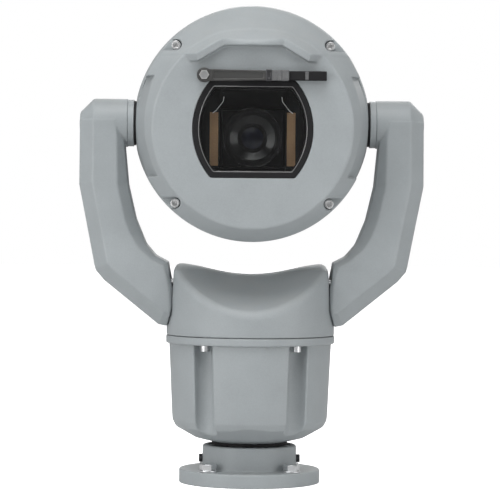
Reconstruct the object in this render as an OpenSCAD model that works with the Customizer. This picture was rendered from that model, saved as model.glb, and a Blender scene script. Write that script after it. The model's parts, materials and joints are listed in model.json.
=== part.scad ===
// Pan-tilt-zoom camera: bolted base, rotating body with a two-arm yoke, and a
// round head that tilts between the arms, with a window wiper.
// Millimetres. +Z up, the camera looks along -Y, origin at the centre of the
// base's bottom face on the pan axis.

/* [Base] */
// Diameter of the mounting flange
flange_d = 123; // [119:1:128]
// Thickness of the mounting flange
flange_t = 12; // [9:0.5:15]
// Bolt circle diameter
bolt_circle = 101.6; // [98:0.1:104]
// Bolt length under the head
bolt_len = 25; // [22:1:40]
// Diameter of the collar above the flange
collar_d = 82; // [78:1:84]
// Height of the collar above the flange
collar_h = 21; // [18:1:28]
// Radius of the socket for the mains and data plug
socket_r = 22; // [18:0.5:24]

/* [Body] */
// Diameter at the top of the rotating body
body_top_d = 141.6; // [138:0.2:146]
// Diameter at the foot of the rotating body's straight wall
body_foot_d = 136; // [134:0.5:142]
// Diameter of the joint ring between body and shoulder
ring_d = 147.2; // [146:0.2:152]
// Thickness of the joint ring
ring_t = 7; // [5:0.5:9]
// Height of the body's straight wall
body_wall_h = 62; // [60:1:80]
// Wall of the body and shoulder castings
cast_wall = 4; // [3:0.25:4.5]
// Radius of the vertical screw flutes
flute_r = 9.5; // [7:0.5:10]

/* [Yoke] */
// Height of the tilt axis above the joint ring
tilt_rise = 184.5; // [180:0.5:200]
// Outside width over the two arms
yoke_w = 300; // [296:1:312]
// Radius of the arm hub round the tilt axis
hub_r = 21; // [20:0.5:23]
// Half depth of the arm at its foot
foot_half = 31; // [27:0.5:33]
// Chamfer on the arm's outer edges
arm_chamfer = 12; // [6:0.5:13]

/* [Head] */
// Diameter of the head
head_d = 206; // [200:1:208]
// Front face, ahead of the tilt axis
face_y = 86; // [83:0.5:87]
// Back face, behind the tilt axis
back_y = 92; // [86:1:96]
// Wall of the head castings
head_wall = 4; // [3:0.25:4.5]
// Radius of the flat front face
face_r = 85; // [83:0.5:87]
// Reach of the brow ahead of the front face
brow_reach = 16; // [15:0.5:18]

/* [Window and wiper] */
// Overall width of the window
window_w = 99.8; // [92:0.2:102]
// Overall height of the window
window_h = 80.6; // [76:0.2:82]
// Width of the black window frame
window_frame = 3.8; // [3:0.2:5]
// Thickness of the window pane
glass_t = 4; // [3:0.5:5]
// Reach of the wiper from its pivot
wiper_reach = 103; // [96:1:104]

/* [Lens] */
// Width of the zoom camera block
block_w = 53; // [48:1:54]
// Height of the zoom camera block
block_h = 48; // [44:1:48]
// Radius of the lens barrel
barrel_r = 23.5; // [21:0.5:23.5]

/* [Drive] */
// Teeth of the fixed pan gear
pan_gear_teeth = 56; // [54:1:58]
// Teeth of the pan pinion
pan_pinion_teeth = 16; // [16:1:18]
// Teeth of the fixed tilt gear
tilt_gear_teeth = 48; // [46:1:50]
// Teeth of the tilt pinion
tilt_pinion_teeth = 16; // [16:1:18]

/* [Hidden] */
$fn = 96;
eps = 0.01;
hull_fn = 48;
deg_step = 7.5;

// Fits and hardware
run_gap = 0.05;         // radial, shafts in bores
slip_gap = 0.3;         // between bodies that move
seat_gap = 0.1;         // between parts that are fitted together
m8_r = 4;
m8_shank_r = 4.2;
m8_head_r = 7.5;
m8_head_h = 5.3;
m8_washer_r = 8;
m8_washer_t = 1.6;
m8_hole_r = 4.5;
m5_r = 2.5;
m5_head_r = 4.25;
m5_head_h = 5;
m4_r = 2;
m4_head_r = 3.5;
m4_head_h = 3.2;
m3_r = 1.5;
m3_head_r = 2.75;
m3_head_h = 2;
screw_gap = 0.1;

// Heights up the pan axis
collar_top = flange_t + collar_h;
body_gap = 2.5;                          // black seal between collar and body
body_z0 = collar_top + body_gap;
cone_h = 24.5;                           // tapered bottom of the body
wall_z0 = body_z0 + cone_h;
ring_z0 = wall_z0 + body_wall_h;
ring_z1 = ring_z0 + ring_t;
tilt_z = ring_z1 + tilt_rise;
ring_r = ring_d / 2;
body_top_r = body_top_d / 2;
body_foot_r = body_foot_d / 2;

// Pan column and bearings
column_r = 17.5;
column_bore_r = 9;
column_lip_r = 20;
bearing_w = 10;
bearing_r1 = 29;
pan_ball_r = 3.2;
lower_bearing_z = body_z0 + 2.5;
bearing_spacing = 20;
hub_wall = 4;
hub_top = lower_bearing_z + bearing_spacing + bearing_w;
gear_seat_r = 15;
gear_z = hub_top + 3;
gear_w = 8;
nut_z = gear_z + gear_w;
nut_h = 5;
column_top = nut_z + nut_h + 2;

// Gears: module in mm, pitch radii, centre distances
pan_module = 1.25;
tilt_module = 1;
pressure_angle = 20;
backlash = 0.16;
pan_gear_r = pan_module * pan_gear_teeth / 2;
pan_pinion_r = pan_module * pan_pinion_teeth / 2;
pan_centre = pan_gear_r + pan_pinion_r;
tilt_gear_r = tilt_module * tilt_gear_teeth / 2;
tilt_pinion_r = tilt_module * tilt_pinion_teeth / 2;
tilt_centre = tilt_gear_r + tilt_pinion_r;
motor_r = 14;
motor_shaft_r = 2.5;
pan_motor_h = 33;
plate_t = 4;
plate_z = gear_z + gear_w + 4;
pillar_r = 4;
pillar_y = 15;
pillar_x = pan_centre + 11;

// Slip ring on top of the column
slip_r = 11;
slip_h = 24;
slip_rotor_r = 8;
slip_rotor_z = column_top + slip_h + slip_gap;
board_z = ring_z1 + 2;
board_t = 1.6;
board_r = 58;
board_screw_at = 55.5;
spacer_r = 2.4;

// Screw flutes at the four corners of the body
flute_at = 66;
flute_angle = 36;
flute_wall = 3.5;
flute_angles = [flute_angle, 180 - flute_angle, 180 + flute_angle, 360 - flute_angle];

// Side outline of the shoulder, from the joint ring up: [x, z above the ring]
side_line = [
    [ring_r, 0], [ring_r, 8], [ring_r - 1.3, 10.3], [ring_r - 4, 23],
    [ring_r - 5.8, 39], [ring_r - 7, 62.5]
];
// Scoops in front of and behind the saddle ridge
ridge_z = tilt_z - 131;
scoop_r = 148;
scoop_tilt = 26;
scoop_axis_z = ridge_z + scoop_r / cos(scoop_tilt);

// Arm outline seen from the front, inner edge from the shoulder up: [x, z]
yoke_x = yoke_w / 2;
shoulder_top = ring_z1 + side_line[5][1];
arm_inner = [
    [side_line[5][0], shoulder_top],
    [yoke_x - 78, shoulder_top + 1.6], [yoke_x - 67, shoulder_top + 7],
    [yoke_x - 58.3, shoulder_top + 17], [yoke_x - 53.9, shoulder_top + 28],
    [yoke_x - 49.5, shoulder_top + 38.5], [yoke_x - 45.3, shoulder_top + 54],
    [yoke_x - 42.7, shoulder_top + 68], [yoke_x - 37.5, tilt_z]
];
arm_knee_z = tilt_z - 54;
arm_outer = [
    [yoke_x, tilt_z], [yoke_x, arm_knee_z], [yoke_x - 15, shoulder_top - 6],
    [yoke_x - 22.5, shoulder_top - 15], [ring_r + 6.6, ring_z1 + 9.7],
    [ring_r + 1, ring_z1 + 8.3]
];
arm_hub_x0 = head_d / 2 + 5;
hub_face_r = hub_r - 11;
arm_mid_half = hub_r + 3;
arm_bolt_z = [ring_z1 + 22, ring_z1 + 46];
arm_bolt_y = 18;
arm_bolt_seat = ring_r - 11.6;
cover_half = 7;
cover_t = 3;
cover_z0 = arm_knee_z + 8;
cover_z1 = tilt_z + 4;

// Head, measured from the tilt axis
head_r = head_d / 2;
flat_x = head_r - 2;                     // flats where the arms join
joint_y = 32;                            // joint plane of front cover and rear shell
bevel_y = 62;                            // bevel starts here
dome_y = 20;                             // rear dome starts here
dome_end_r = 45;
face_drop = 8;                           // face centre below the tilt axis
brow_y = face_y + brow_reach;
bevel_slope_r = (head_r - face_r) / (face_y - bevel_y);
bevel_slope_z = face_drop / (face_y - bevel_y);
brow_r = head_r - bevel_slope_r * (brow_y - bevel_y);
brow_drop = bevel_slope_z * (brow_y - bevel_y);
brow_z = 46.7;                           // underside of the brow at its ends
brow_peak_z = 59.6;                      // and over the window
brow_half = 46;
brow_peak_half = 24;
relief_half = 42;
relief_drop = 6;
relief_x = 91;
relief_slope = 12;
pocket_r = 5.6;
pocket_x = head_r - 38.5;
pocket_z = head_r - 37;
pocket_drop = 4;
pocket_y = 62;

// Window outline, centred below the tilt axis
window_z = -8.8;
window_arc_r = 62.6;
glass_y = face_y + 0.2;
ledge = 3;

// Tilt axles and their bearings
axle_r = 10;
axle_bore_r = 6.5;
axle_tip_x = 66;
axle_flange_r = 20.4;
axle_spigot_r = 14;
axle_spigot_x = arm_hub_x0 + 14;
tilt_bearing_r = 17;
tilt_bearing_x0 = 84;
tilt_bearing_w = 8;
tilt_ball_r = 1.9;
tilt_gear_x = 68;
tilt_gear_w = 8;
boss_r = tilt_bearing_r + 4;
boss_x0 = tilt_bearing_x0 - 4;
vent_r = 30;
seal_x0 = flat_x + 0.2;
seal_x1 = arm_hub_x0 - 5 - slip_gap;
tilt_motor_angle = 53;
tilt_motor_y = tilt_centre * cos(tilt_motor_angle);
tilt_motor_z = tilt_centre * sin(tilt_motor_angle);
tilt_motor_x1 = 60;
tilt_motor_len = 26;
bracket_t = 3;
standoff_r = 3;
standoff_at = tilt_gear_r + 7;

// Zoom camera block, lens and light baffle
lens_z = -14;
block_y0 = -44;
block_y1 = 36;
barrel_y = -52;
bracket_x = block_w / 2 + 1.5;
sheet_t = 1.5;
bracket_z0 = lens_z - block_h / 2 - 2.2;
foot_x = 20;
foot_y = [-12, 27];
fan_y = 52;
fan_z = -36;
fan_half = 20;
fan_w = 10;
tab_w = 9;
tab_y = -61;
lens_bore_r = 19;

// Wiper, pivot measured from the tilt axis
pivot_x = -41.2;
pivot_z = 37.3;
blade_y = glass_y + 0.6;
blade_half_h = 4;
wiper_mid = 66;
wiper_shaft_r = 3;
bush_r = 5.5;
boss_y0 = blade_y + 4;

// ---- shared shapes ----

// A cylinder along +Y or +X from a start coordinate.
module rod_y(r, y0, y1) translate([0, y0, 0]) rotate([-90, 0, 0]) cylinder(r = r, h = y1 - y0);
module rod_x(r, x0, x1) translate([x0, 0, 0]) rotate([0, 90, 0]) cylinder(r = r, h = x1 - x0);
module tube(r0, r1, h) difference() {
    cylinder(r = r1, h = h);
    translate([0, 0, -1]) cylinder(r = r0, h = h + 2);
}
module tube_x(r0, r1, x0, x1) difference() {
    rod_x(r1, x0, x1);
    rod_x(r0, x0 - 1, x1 + 1);
}
module tube_y(r0, r1, y0, y1) difference() {
    rod_y(r1, y0, y1);
    rod_y(r0, y0 - 1, y1 + 1);
}
module at_head() translate([0, 0, tilt_z]) children();
module both_sides() {
    children();
    mirror([1, 0, 0]) children();
}
module at_flutes() for (a = flute_angles)
    translate([flute_at * sin(a), flute_at * cos(a), 0]) children();
module at_base_bolts() for (a = [45:90:315])
    rotate([0, 0, a]) translate([bolt_circle / 2, 0, 0]) children();

// Extrudes an outline drawn as [x, z] along Y.
module front_extrude(half) rotate([90, 0, 0]) linear_extrude(2 * half, center = true) children();

function involute(base_r, t) = [
    base_r * (cos(t) + t * PI / 180 * sin(t)),
    base_r * (sin(t) - t * PI / 180 * cos(t))
];
function turned(p, a) = [p[0] * cos(a) - p[1] * sin(a), p[0] * sin(a) + p[1] * cos(a)];

// One tooth as six points, from root to root, centred on angle a.
function tooth(m, n, a) =
    let (pitch = m * n / 2, base = pitch * cos(pressure_angle))
    let (root = pitch - 1.25 * m, tip = pitch + m)
    let (low = max(base, root), steps = [low, pitch, tip])
    let (roll = [for (r = steps) sqrt(max(0, pow(r / base, 2) - 1)) * 180 / PI])
    let (spread = tan(pressure_angle) * 180 / PI - pressure_angle)
    let (half = 90 / n - backlash / 2 / pitch * 180 / PI + spread)
    concat(
        [turned([root, 0], a - half)],
        [for (t = roll) turned(involute(base, t), a - half)],
        [for (i = [2:-1:0]) let (p = involute(base, roll[i])) turned([p[0], -p[1]], a + half)],
        [turned([root, 0], a + half)]
    );
module spur_gear(m, n, bore_r, h) difference() {
    linear_extrude(h) polygon([for (i = [0:n - 1]) each tooth(m, n, i * 360 / n)]);
    translate([0, 0, -1]) cylinder(r = bore_r, h = h + 2);
}
// Turn that puts a gap of an n-tooth gear at angle 180, opposite a tooth of its mate.
function gap_turn(n) = n % 2 == 0 ? 180 / n : 0;

// Ball bearing, axis Z: races with a groove, and a ring of balls.
module race(r0, r1, w, track_r, ball_r) difference() {
    tube(r0, r1, w);
    translate([0, 0, w / 2]) rotate_extrude() translate([track_r, 0]) circle(r = ball_r + 0.08, $fn = 32);
}
module ball_ring(track_r, ball_r, w, n) for (i = [0:n - 1])
    rotate([0, 0, i * 360 / n]) translate([track_r, 0, w / 2]) sphere(r = ball_r, $fn = 32);

// Socket-head screw pointing along -Z, head on top of z = 0.
module cap_screw(r, head_r, head_h, len) {
    difference() {
        cylinder(r = head_r, h = head_h);
        translate([0, 0, head_h * 0.4]) cylinder(r = r * 0.9, h = head_h, $fn = 6);
    }
    translate([0, 0, -len]) cylinder(r = r, h = len + eps);
}

// ---- base, which stays still ----

module base_casting() color([0.55, 0.58, 0.59]) difference() {
    union() {
        cylinder(d = flange_d, h = flange_t);
        rotate_extrude() polygon(concat(
            [[0, flange_t - eps], [collar_d / 2, flange_t - eps]],
            [for (a = [0:22.5:90]) [collar_d / 2 - 3.5 + 3.5 * cos(a), collar_top - 3.5 + 3.5 * sin(a)]],
            [[0, collar_top]]
        ));
        cylinder(r = column_lip_r, h = lower_bearing_z);
        cylinder(r = column_r, h = gear_z);
        cylinder(r = gear_seat_r, h = column_top);
    }
    translate([0, 0, -1]) cylinder(r = column_bore_r, h = column_top + 2);
    translate([0, 0, -1]) cylinder(r = socket_r, h = socket_mouth() + 1);
    cylinder(r = socket_r - 1, h = socket_depth());
    translate([0, 0, collar_top - 1.2]) tube(27, 36, 2);
    at_base_bolts() translate([0, 0, -1]) cylinder(r = m8_hole_r, h = flange_t + 2);
    both_sides() translate([0, 0, collar_mid()]) rod_x(m4_r + screw_gap, collar_d / 2 - 9, collar_d / 2 + 1);
}
function socket_mouth() = flange_t;
function socket_depth() = flange_t + 8;
function collar_mid() = flange_t + collar_h * 0.42;

module base_bolts() color([0.75, 0.76, 0.78]) at_base_bolts() {
    translate([0, 0, flange_t + m8_washer_t]) rotate([0, 0, 15])
        cylinder(r = m8_head_r, h = m8_head_h, $fn = 6);
    cylinder(r = m8_shank_r, h = flange_t + m8_washer_t + eps);
    translate([0, 0, 1 - stud_out()]) cylinder(r = m8_r, h = stud_out() - 1 + eps);
    translate([0, 0, -stud_out()]) cylinder(r1 = m8_r - 1, r2 = m8_r, h = 1 + eps);
}
function stud_out() = bolt_len - flange_t - m8_washer_t;
module base_washers() color([0.8, 0.8, 0.82]) at_base_bolts() translate([0, 0, flange_t])
    tube(m8_shank_r + screw_gap, m8_washer_r, m8_washer_t);

module collar_screws() color([0.3, 0.3, 0.32]) both_sides()
    translate([collar_d / 2, 0, collar_mid()]) rotate([0, 90, 0])
        cap_screw(m4_r, m4_head_r, m4_head_h, 8);

// Plug socket, standing in the recess under the column.
module base_connector() color([0.15, 0.15, 0.16]) {
    translate([0, 0, socket_mouth() + 0.5]) difference() {
        cylinder(r = socket_r - 1 - seat_gap, h = 7.4);
        translate([0, 0, -1]) cylinder(r = socket_r - 4, h = 5.5);
        translate([0, 0, 4]) cylinder(r = column_bore_r - 2, h = 6);
    }
    for (a = [0:45:315]) rotate([0, 0, a])
        translate([socket_r * 0.55, 0, socket_mouth() + 1]) cylinder(r = 1.2, h = 4.5, $fn = 16);
}

module pan_gear() color([0.72, 0.62, 0.35]) translate([0, 0, gear_z])
    spur_gear(pan_module, pan_gear_teeth, gear_seat_r + seat_gap / 2, gear_w);
module pan_lock_nut() color([0.6, 0.6, 0.62]) translate([0, 0, nut_z]) difference() {
    cylinder(r = gear_seat_r + 6, h = nut_h);
    translate([0, 0, -1]) cylinder(r = gear_seat_r + seat_gap / 2, h = nut_h + 2);
    for (a = [0:90:270]) rotate([0, 0, a]) translate([gear_seat_r + 4, -2, -1]) cube([4, 4, nut_h + 2]);
}

pan_track_r = (column_r + bearing_r1) / 2;
module at_pan_bearings() for (i = [0, 1]) translate([0, 0, lower_bearing_z + i * bearing_spacing]) children();
module pan_inner_races() color([0.7, 0.7, 0.72]) at_pan_bearings()
    race(column_r + seat_gap / 2, pan_track_r - 1.2, bearing_w, pan_track_r, pan_ball_r);
module pan_outer_races() color([0.7, 0.7, 0.72]) at_pan_bearings()
    race(pan_track_r + 1.2, bearing_r1 - seat_gap / 2, bearing_w, pan_track_r, pan_ball_r);
module pan_balls() color([0.85, 0.85, 0.87]) at_pan_bearings()
    ball_ring(pan_track_r, pan_ball_r, bearing_w, 14);

module slip_ring_stator() color([0.2, 0.2, 0.22]) translate([0, 0, column_top]) {
    cylinder(r = gear_seat_r - 1, h = 2);
    cylinder(r = slip_r, h = slip_h);
    translate([0, 0, -12]) cylinder(r = column_bore_r - seat_gap, h = 12 + eps);
}

// ---- body, which turns on the pan axis ----

module body_outline(inset) polygon([
    [0, body_z0 + inset], [31 - inset, body_z0 + inset], [48 - inset * 0.3, body_z0 + 4.2 + inset],
    [body_foot_r - 3.3 - inset * 0.7, body_z0 + 13.7 + inset * 0.8],
    [body_foot_r - 0.6 - inset, body_z0 + 19 + inset * 0.3],
    [body_foot_r - inset, wall_z0], [body_top_r - inset, ring_z0],
    [body_top_r - inset, ring_z1 + (inset > 0 ? 1 : 0)], [0, ring_z1 + (inset > 0 ? 1 : 0)]
]);
module flute_outline() {
    circle(r = flute_r);
    translate([-flute_r, 0]) square([2 * flute_r, 20]);
}
module body_casting() color([0.56, 0.59, 0.6]) difference() {
    union() {
        difference() {
            union() {
                rotate_extrude() body_outline(0);
                translate([0, 0, ring_z0]) cylinder(r = ring_r, h = ring_t);
            }
            difference() {
                rotate_extrude() body_outline(cast_wall);
                at_flutes() translate([0, 0, body_z0]) cylinder(r = flute_r + flute_wall, h = ring_z1);
                translate([0, 0, body_z0]) cylinder(r = bearing_r1 + hub_wall, h = hub_top - body_z0);
                for (y = [-pillar_y, pillar_y]) translate([pillar_x, y, body_z0])
                    cylinder(r = pillar_r, h = plate_z - body_z0);
            }
        }
    }
    at_pan_bearings() cylinder(r = bearing_r1, h = bearing_w);
    translate([0, 0, body_z0 - 1]) cylinder(r = pan_track_r + 1.2, h = hub_top);
    for (a = flute_angles) rotate([0, 0, -a]) translate([0, flute_at, 0])
        linear_extrude(ring_z0) flute_outline();
    at_flutes() translate([0, 0, ring_z0 - 1]) cylinder(r = m5_r + screw_gap, h = ring_t + 2);
    for (y = [-pillar_y, pillar_y]) translate([pillar_x, y, plate_z - 8])
        cylinder(r = m3_r + screw_gap, h = 9);
    at_board_screws() translate([0, 0, ring_z1 - 5]) cylinder(r = m3_r + screw_gap, h = 6);
}

module pan_seal() color([0.06, 0.06, 0.06]) translate([0, 0, collar_top + slip_gap])
    tube(column_lip_r + slip_gap, 33, body_gap - slip_gap);

module pan_motor_plate() color([0.5, 0.5, 0.52]) translate([0, 0, plate_z]) {
    difference() {
        translate([gear_seat_r + 9, -pillar_y - 4, 0])
            cube([pillar_x + 5 - gear_seat_r - 9, 2 * pillar_y + 8, plate_t]);
        translate([pan_centre, 0, -1]) cylinder(r = 6, h = plate_t + 2);
        for (y = [-pillar_y, pillar_y]) translate([pillar_x, y, -1]) cylinder(r = m3_r + screw_gap, h = 9);
    }
    for (y = [-pillar_y, pillar_y]) translate([pillar_x, y, plate_t])
        cap_screw(m3_r, m3_head_r, m3_head_h, 10);
}
module pan_motor() color([0.25, 0.25, 0.27]) translate([pan_centre, 0, plate_z + plate_t]) difference() {
    union() {
        cylinder(r = motor_r, h = pan_motor_h);
        translate([0, 0, pan_motor_h - eps]) cylinder(r = 4, h = 2);
        translate([0, 0, -1.5]) cylinder(r = 5.8, h = 2);
    }
    translate([0, 0, -2]) cylinder(r = motor_shaft_r + 0.5, h = 8);
}
module pan_pinion() color([0.72, 0.62, 0.35]) translate([pan_centre, 0, gear_z]) {
    rotate([0, 0, gap_turn(pan_pinion_teeth)])
        spur_gear(pan_module, pan_pinion_teeth, motor_shaft_r - eps, gear_w);
    translate([0, 0, -1]) cylinder(r = motor_shaft_r, h = plate_z + plate_t + 5 - gear_z);
}

module slip_ring_rotor() color([0.4, 0.4, 0.42]) {
    translate([0, 0, slip_rotor_z]) cylinder(r = slip_rotor_r, h = 9);
    translate([0, 0, slip_rotor_z]) cylinder(r = slip_rotor_r - 3, h = board_z - slip_rotor_z);
}

// Round control board on four spacers that stand on the bosses behind the flutes.
module at_board_screws() for (a = flute_angles)
    translate([board_screw_at * sin(a), board_screw_at * cos(a), 0]) children();
module control_board() color([0.1, 0.35, 0.2]) translate([0, 0, board_z]) difference() {
    cylinder(r = board_r, h = board_t);
    at_board_screws() translate([0, 0, -1]) cylinder(r = m3_r + screw_gap, h = 4);
}
module board_parts() color([0.12, 0.12, 0.13]) {
    translate([0, 0, board_z + board_t]) {
        translate([-16, -12, 0]) cube([20, 20, 2.4]);
        translate([12, 8, 0]) cube([14, 14, 1.8]);
        translate([-34, 14, 0]) cube([22, 9, 9]);
        for (x = [18, 29, 40]) translate([x, -16, 0]) cylinder(r = 4.5, h = 12, $fn = 32);
    }
    at_board_screws() translate([0, 0, board_z + board_t]) cap_screw(m3_r, m3_head_r, m3_head_h, board_t + 6);
    at_board_screws() translate([0, 0, ring_z1]) tube(m3_r + screw_gap, spacer_r, board_z - ring_z1);
}

// ---- shoulder and arms ----

module scoops(inset) for (s = [-1, 1]) intersection() {
    translate([-150, s > 0 ? 0 : -150, 0]) cube([300, 150, 600]);
    translate([0, 0, scoop_axis_z]) rotate([90 - s * scoop_tilt, 0, 0])
        cylinder(r = scoop_r + inset, h = 500, center = true, $fn = 180);
}
module shoulder_solid(inset) difference() {
    intersection() {
        translate([0, 0, ring_z1 - (inset > 0 ? 1 : 0)]) cylinder(r = ring_r - inset, h = 90);
        front_extrude(100) polygon(concat(
            [for (p = side_line) [p[0] - inset, p[1] + ring_z1 - (inset > 0 && p[1] == 0 ? 1 : 0)]],
            [for (i = [5:-1:0]) let (p = side_line[i])
                [inset - p[0], p[1] + ring_z1 - (inset > 0 && p[1] == 0 ? 1 : 0)]]
        ));
    }
    scoops(inset);
}
module at_arm_bolts() for (z = arm_bolt_z, y = [-arm_bolt_y, arm_bolt_y]) translate([0, y, z]) children();
module shoulder_casting() color([0.57, 0.6, 0.61]) difference() {
    union() {
        difference() {
            shoulder_solid(0);
            shoulder_solid(cast_wall);
        }
        intersection() {
            shoulder_solid(0);
            union() {
                at_flutes() translate([0, 0, ring_z1]) cylinder(r = flute_r - 2, h = 16);
                both_sides() at_arm_bolts() rod_x(6.5, arm_bolt_seat, ring_r);
            }
        }
    }
    at_flutes() translate([0, 0, ring_z1 - 1]) cylinder(r = m5_r + screw_gap, h = 14);
    both_sides() at_arm_bolts() rod_x(m5_r + screw_gap, 40, 90);
    both_sides() translate([0, 0, (arm_bolt_z[0] + arm_bolt_z[1]) / 2]) rod_x(7, 50, 90);
}
module shoulder_screws() color([0.8, 0.8, 0.82]) at_flutes() translate([0, 0, ring_z0])
    mirror([0, 0, 1]) cap_screw(m5_r, m5_head_r, m5_head_h, ring_t + 11);

module arm_section(z, x0, x1, half, inner_cut) translate([0, 0, z]) linear_extrude(eps) polygon([
    [x0, half - inner_cut], [x0 + inner_cut, half], [x1 - arm_chamfer, half], [x1, half - arm_chamfer],
    [x1, arm_chamfer - half], [x1 - arm_chamfer, -half], [x0 + inner_cut, -half], [x0, inner_cut - half]
]);
// Stations down the arm: [z, inner x, outer x, half depth, inner chamfer]
arm_stations = [
    [tilt_z, yoke_x - 37.5, yoke_x, hub_r, 4],
    [arm_knee_z, yoke_x - 42.7, yoke_x, arm_mid_half, 8],
    [shoulder_top + 24, yoke_x - 55, yoke_x - 9, foot_half - 4, 9],
    [shoulder_top - 6, yoke_x - 95, yoke_x - 15, foot_half, 4],
    [ring_z1 + 8, yoke_x - 95, yoke_x - 15, foot_half, 4]
];
module arm_shell() {
    intersection() {
        front_extrude(60) polygon(concat(
            arm_inner, arm_outer,
            [for (i = [1:5]) [side_line[i][0], side_line[i][1] + ring_z1]]
        ));
        union() for (i = [0:3]) hull() {
            s = arm_stations[i];
            t = arm_stations[i + 1];
            arm_section(s[0], s[1], s[2], s[3], s[4]);
            arm_section(t[0], t[1], t[2], t[3], t[4]);
        }
    }
    translate([0, 0, tilt_z]) {
        rod_x(hub_r, arm_hub_x0, yoke_x - arm_chamfer);
        translate([yoke_x - arm_chamfer - eps, 0, 0]) rotate([0, 90, 0])
            cylinder(r1 = hub_r, r2 = hub_face_r, h = arm_chamfer + eps);
    }
}
// The hollow inside an arm: hub chamber, channel down the arm, and way into the shoulder.
module arm_hollow() {
    front_extrude(9) polygon([
        [yoke_x - 30, tilt_z - 8], [yoke_x - 9, tilt_z - 8], [yoke_x - 9, arm_knee_z],
        [yoke_x - 21, shoulder_top + 2], [yoke_x - 30, shoulder_top - 9],
        [ring_r + 10, ring_z1 + 26], [ring_r + 10, shoulder_top - 12], [yoke_x - 44, shoulder_top + 10]
    ]);
    translate([0, 0, tilt_z]) {
        rod_x(axle_spigot_r + seat_gap / 2, arm_hub_x0 - 1, axle_spigot_x);
        rod_x(axle_r + seat_gap, axle_spigot_x - 1, axle_spigot_x + 6);
        rod_x(9.5, axle_spigot_x + 5, yoke_x - 6);
    }
    translate([0, 0, (arm_bolt_z[0] + arm_bolt_z[1]) / 2]) rod_x(7, 50, ring_r + 14);
    at_arm_bolts() rod_x(m5_r + screw_gap, 50, ring_r + 12);
}
module cover_outline(grow) hull() {
    translate([0, cover_z0 + cover_half]) circle(r = cover_half + grow, $fn = hull_fn);
    translate([0, cover_z1 - cover_half]) circle(r = cover_half + grow, $fn = hull_fn);
}
module cover_prism(grow, x0, x1) translate([x0, 0, 0]) rotate([90, 0, 90])
    linear_extrude(x1 - x0) cover_outline(grow);
module at_cover_screws() for (z = [cover_z0 + cover_half, cover_z1 - cover_half])
    translate([0, 0, z]) children();
module arm_casting() difference() {
    arm_shell();
    arm_hollow();
    cover_prism(seat_gap, yoke_x - cover_t, yoke_x + 1);
    at_cover_screws() rod_x(m3_r + screw_gap, yoke_x - 12, yoke_x + 1);
}
module arm_cover() difference() {
    cover_prism(0, yoke_x - cover_t + seat_gap, yoke_x);
    at_cover_screws() rod_x(m3_r + screw_gap, yoke_x - 12, yoke_x + 1);
    at_cover_screws() rod_x(m3_head_r + screw_gap, yoke_x - 1.2, yoke_x + 1);
}
module right_arm() color([0.57, 0.6, 0.61]) arm_casting();
module left_arm() color([0.57, 0.6, 0.61]) mirror([1, 0, 0]) arm_casting();
module right_arm_cover() color([0.53, 0.56, 0.57]) arm_cover();
module left_arm_cover() color([0.53, 0.56, 0.57]) mirror([1, 0, 0]) arm_cover();
module arm_cover_screws() color([0.7, 0.7, 0.72]) both_sides() at_cover_screws()
    translate([yoke_x - 1.2, 0, 0]) rotate([0, 90, 0]) cap_screw(m3_r, m3_head_r, 1.2, 5);
module arm_screws() color([0.7, 0.7, 0.72]) both_sides() at_arm_bolts()
    translate([arm_bolt_seat, 0, 0]) rotate([0, -90, 0]) cap_screw(m5_r, m5_head_r, m5_head_h, 20);

// Hollow axle, fixed in the arm, which carries the head on a bearing.
module axle(tip_x) translate([0, 0, tilt_z]) difference() {
    union() {
        rod_x(axle_r, tip_x, axle_spigot_x + 5);
        rod_x(axle_flange_r, arm_hub_x0 - 5, arm_hub_x0);
        rod_x(axle_spigot_r, arm_hub_x0 - eps, axle_spigot_x);
    }
    rod_x(axle_bore_r, tip_x - 1, axle_spigot_x + 6);
}
module right_axle() color([0.8, 0.82, 0.83]) axle(axle_tip_x);
module left_axle() color([0.8, 0.82, 0.83]) mirror([1, 0, 0]) axle(tilt_bearing_x0 - 4);

tilt_track_r = (axle_r + tilt_bearing_r) / 2;
module at_tilt_bearings() both_sides() translate([tilt_bearing_x0, 0, tilt_z]) rotate([0, 90, 0]) children();
module tilt_inner_races() color([0.7, 0.7, 0.72]) at_tilt_bearings()
    race(axle_r + seat_gap / 2, tilt_track_r - 0.8, tilt_bearing_w, tilt_track_r, tilt_ball_r);
module tilt_outer_races() color([0.7, 0.7, 0.72]) at_tilt_bearings()
    race(tilt_track_r + 0.8, tilt_bearing_r - seat_gap / 2, tilt_bearing_w, tilt_track_r, tilt_ball_r);
module tilt_balls() color([0.85, 0.85, 0.87]) at_tilt_bearings()
    ball_ring(tilt_track_r, tilt_ball_r, tilt_bearing_w, 12);

// Gear fixed on the right axle's end. Its frame turns so that a tooth faces the motor.
module at_tilt_gear() translate([0, 0, tilt_z]) rotate([tilt_motor_angle, 0, 0])
    translate([tilt_gear_x, 0, 0]) rotate([90, 0, 90]) children();
module tilt_gear() color([0.72, 0.62, 0.35]) at_tilt_gear()
    spur_gear(tilt_module, tilt_gear_teeth, axle_r + seat_gap / 2, tilt_gear_w);

// ---- head, which tilts between the arms ----

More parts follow.
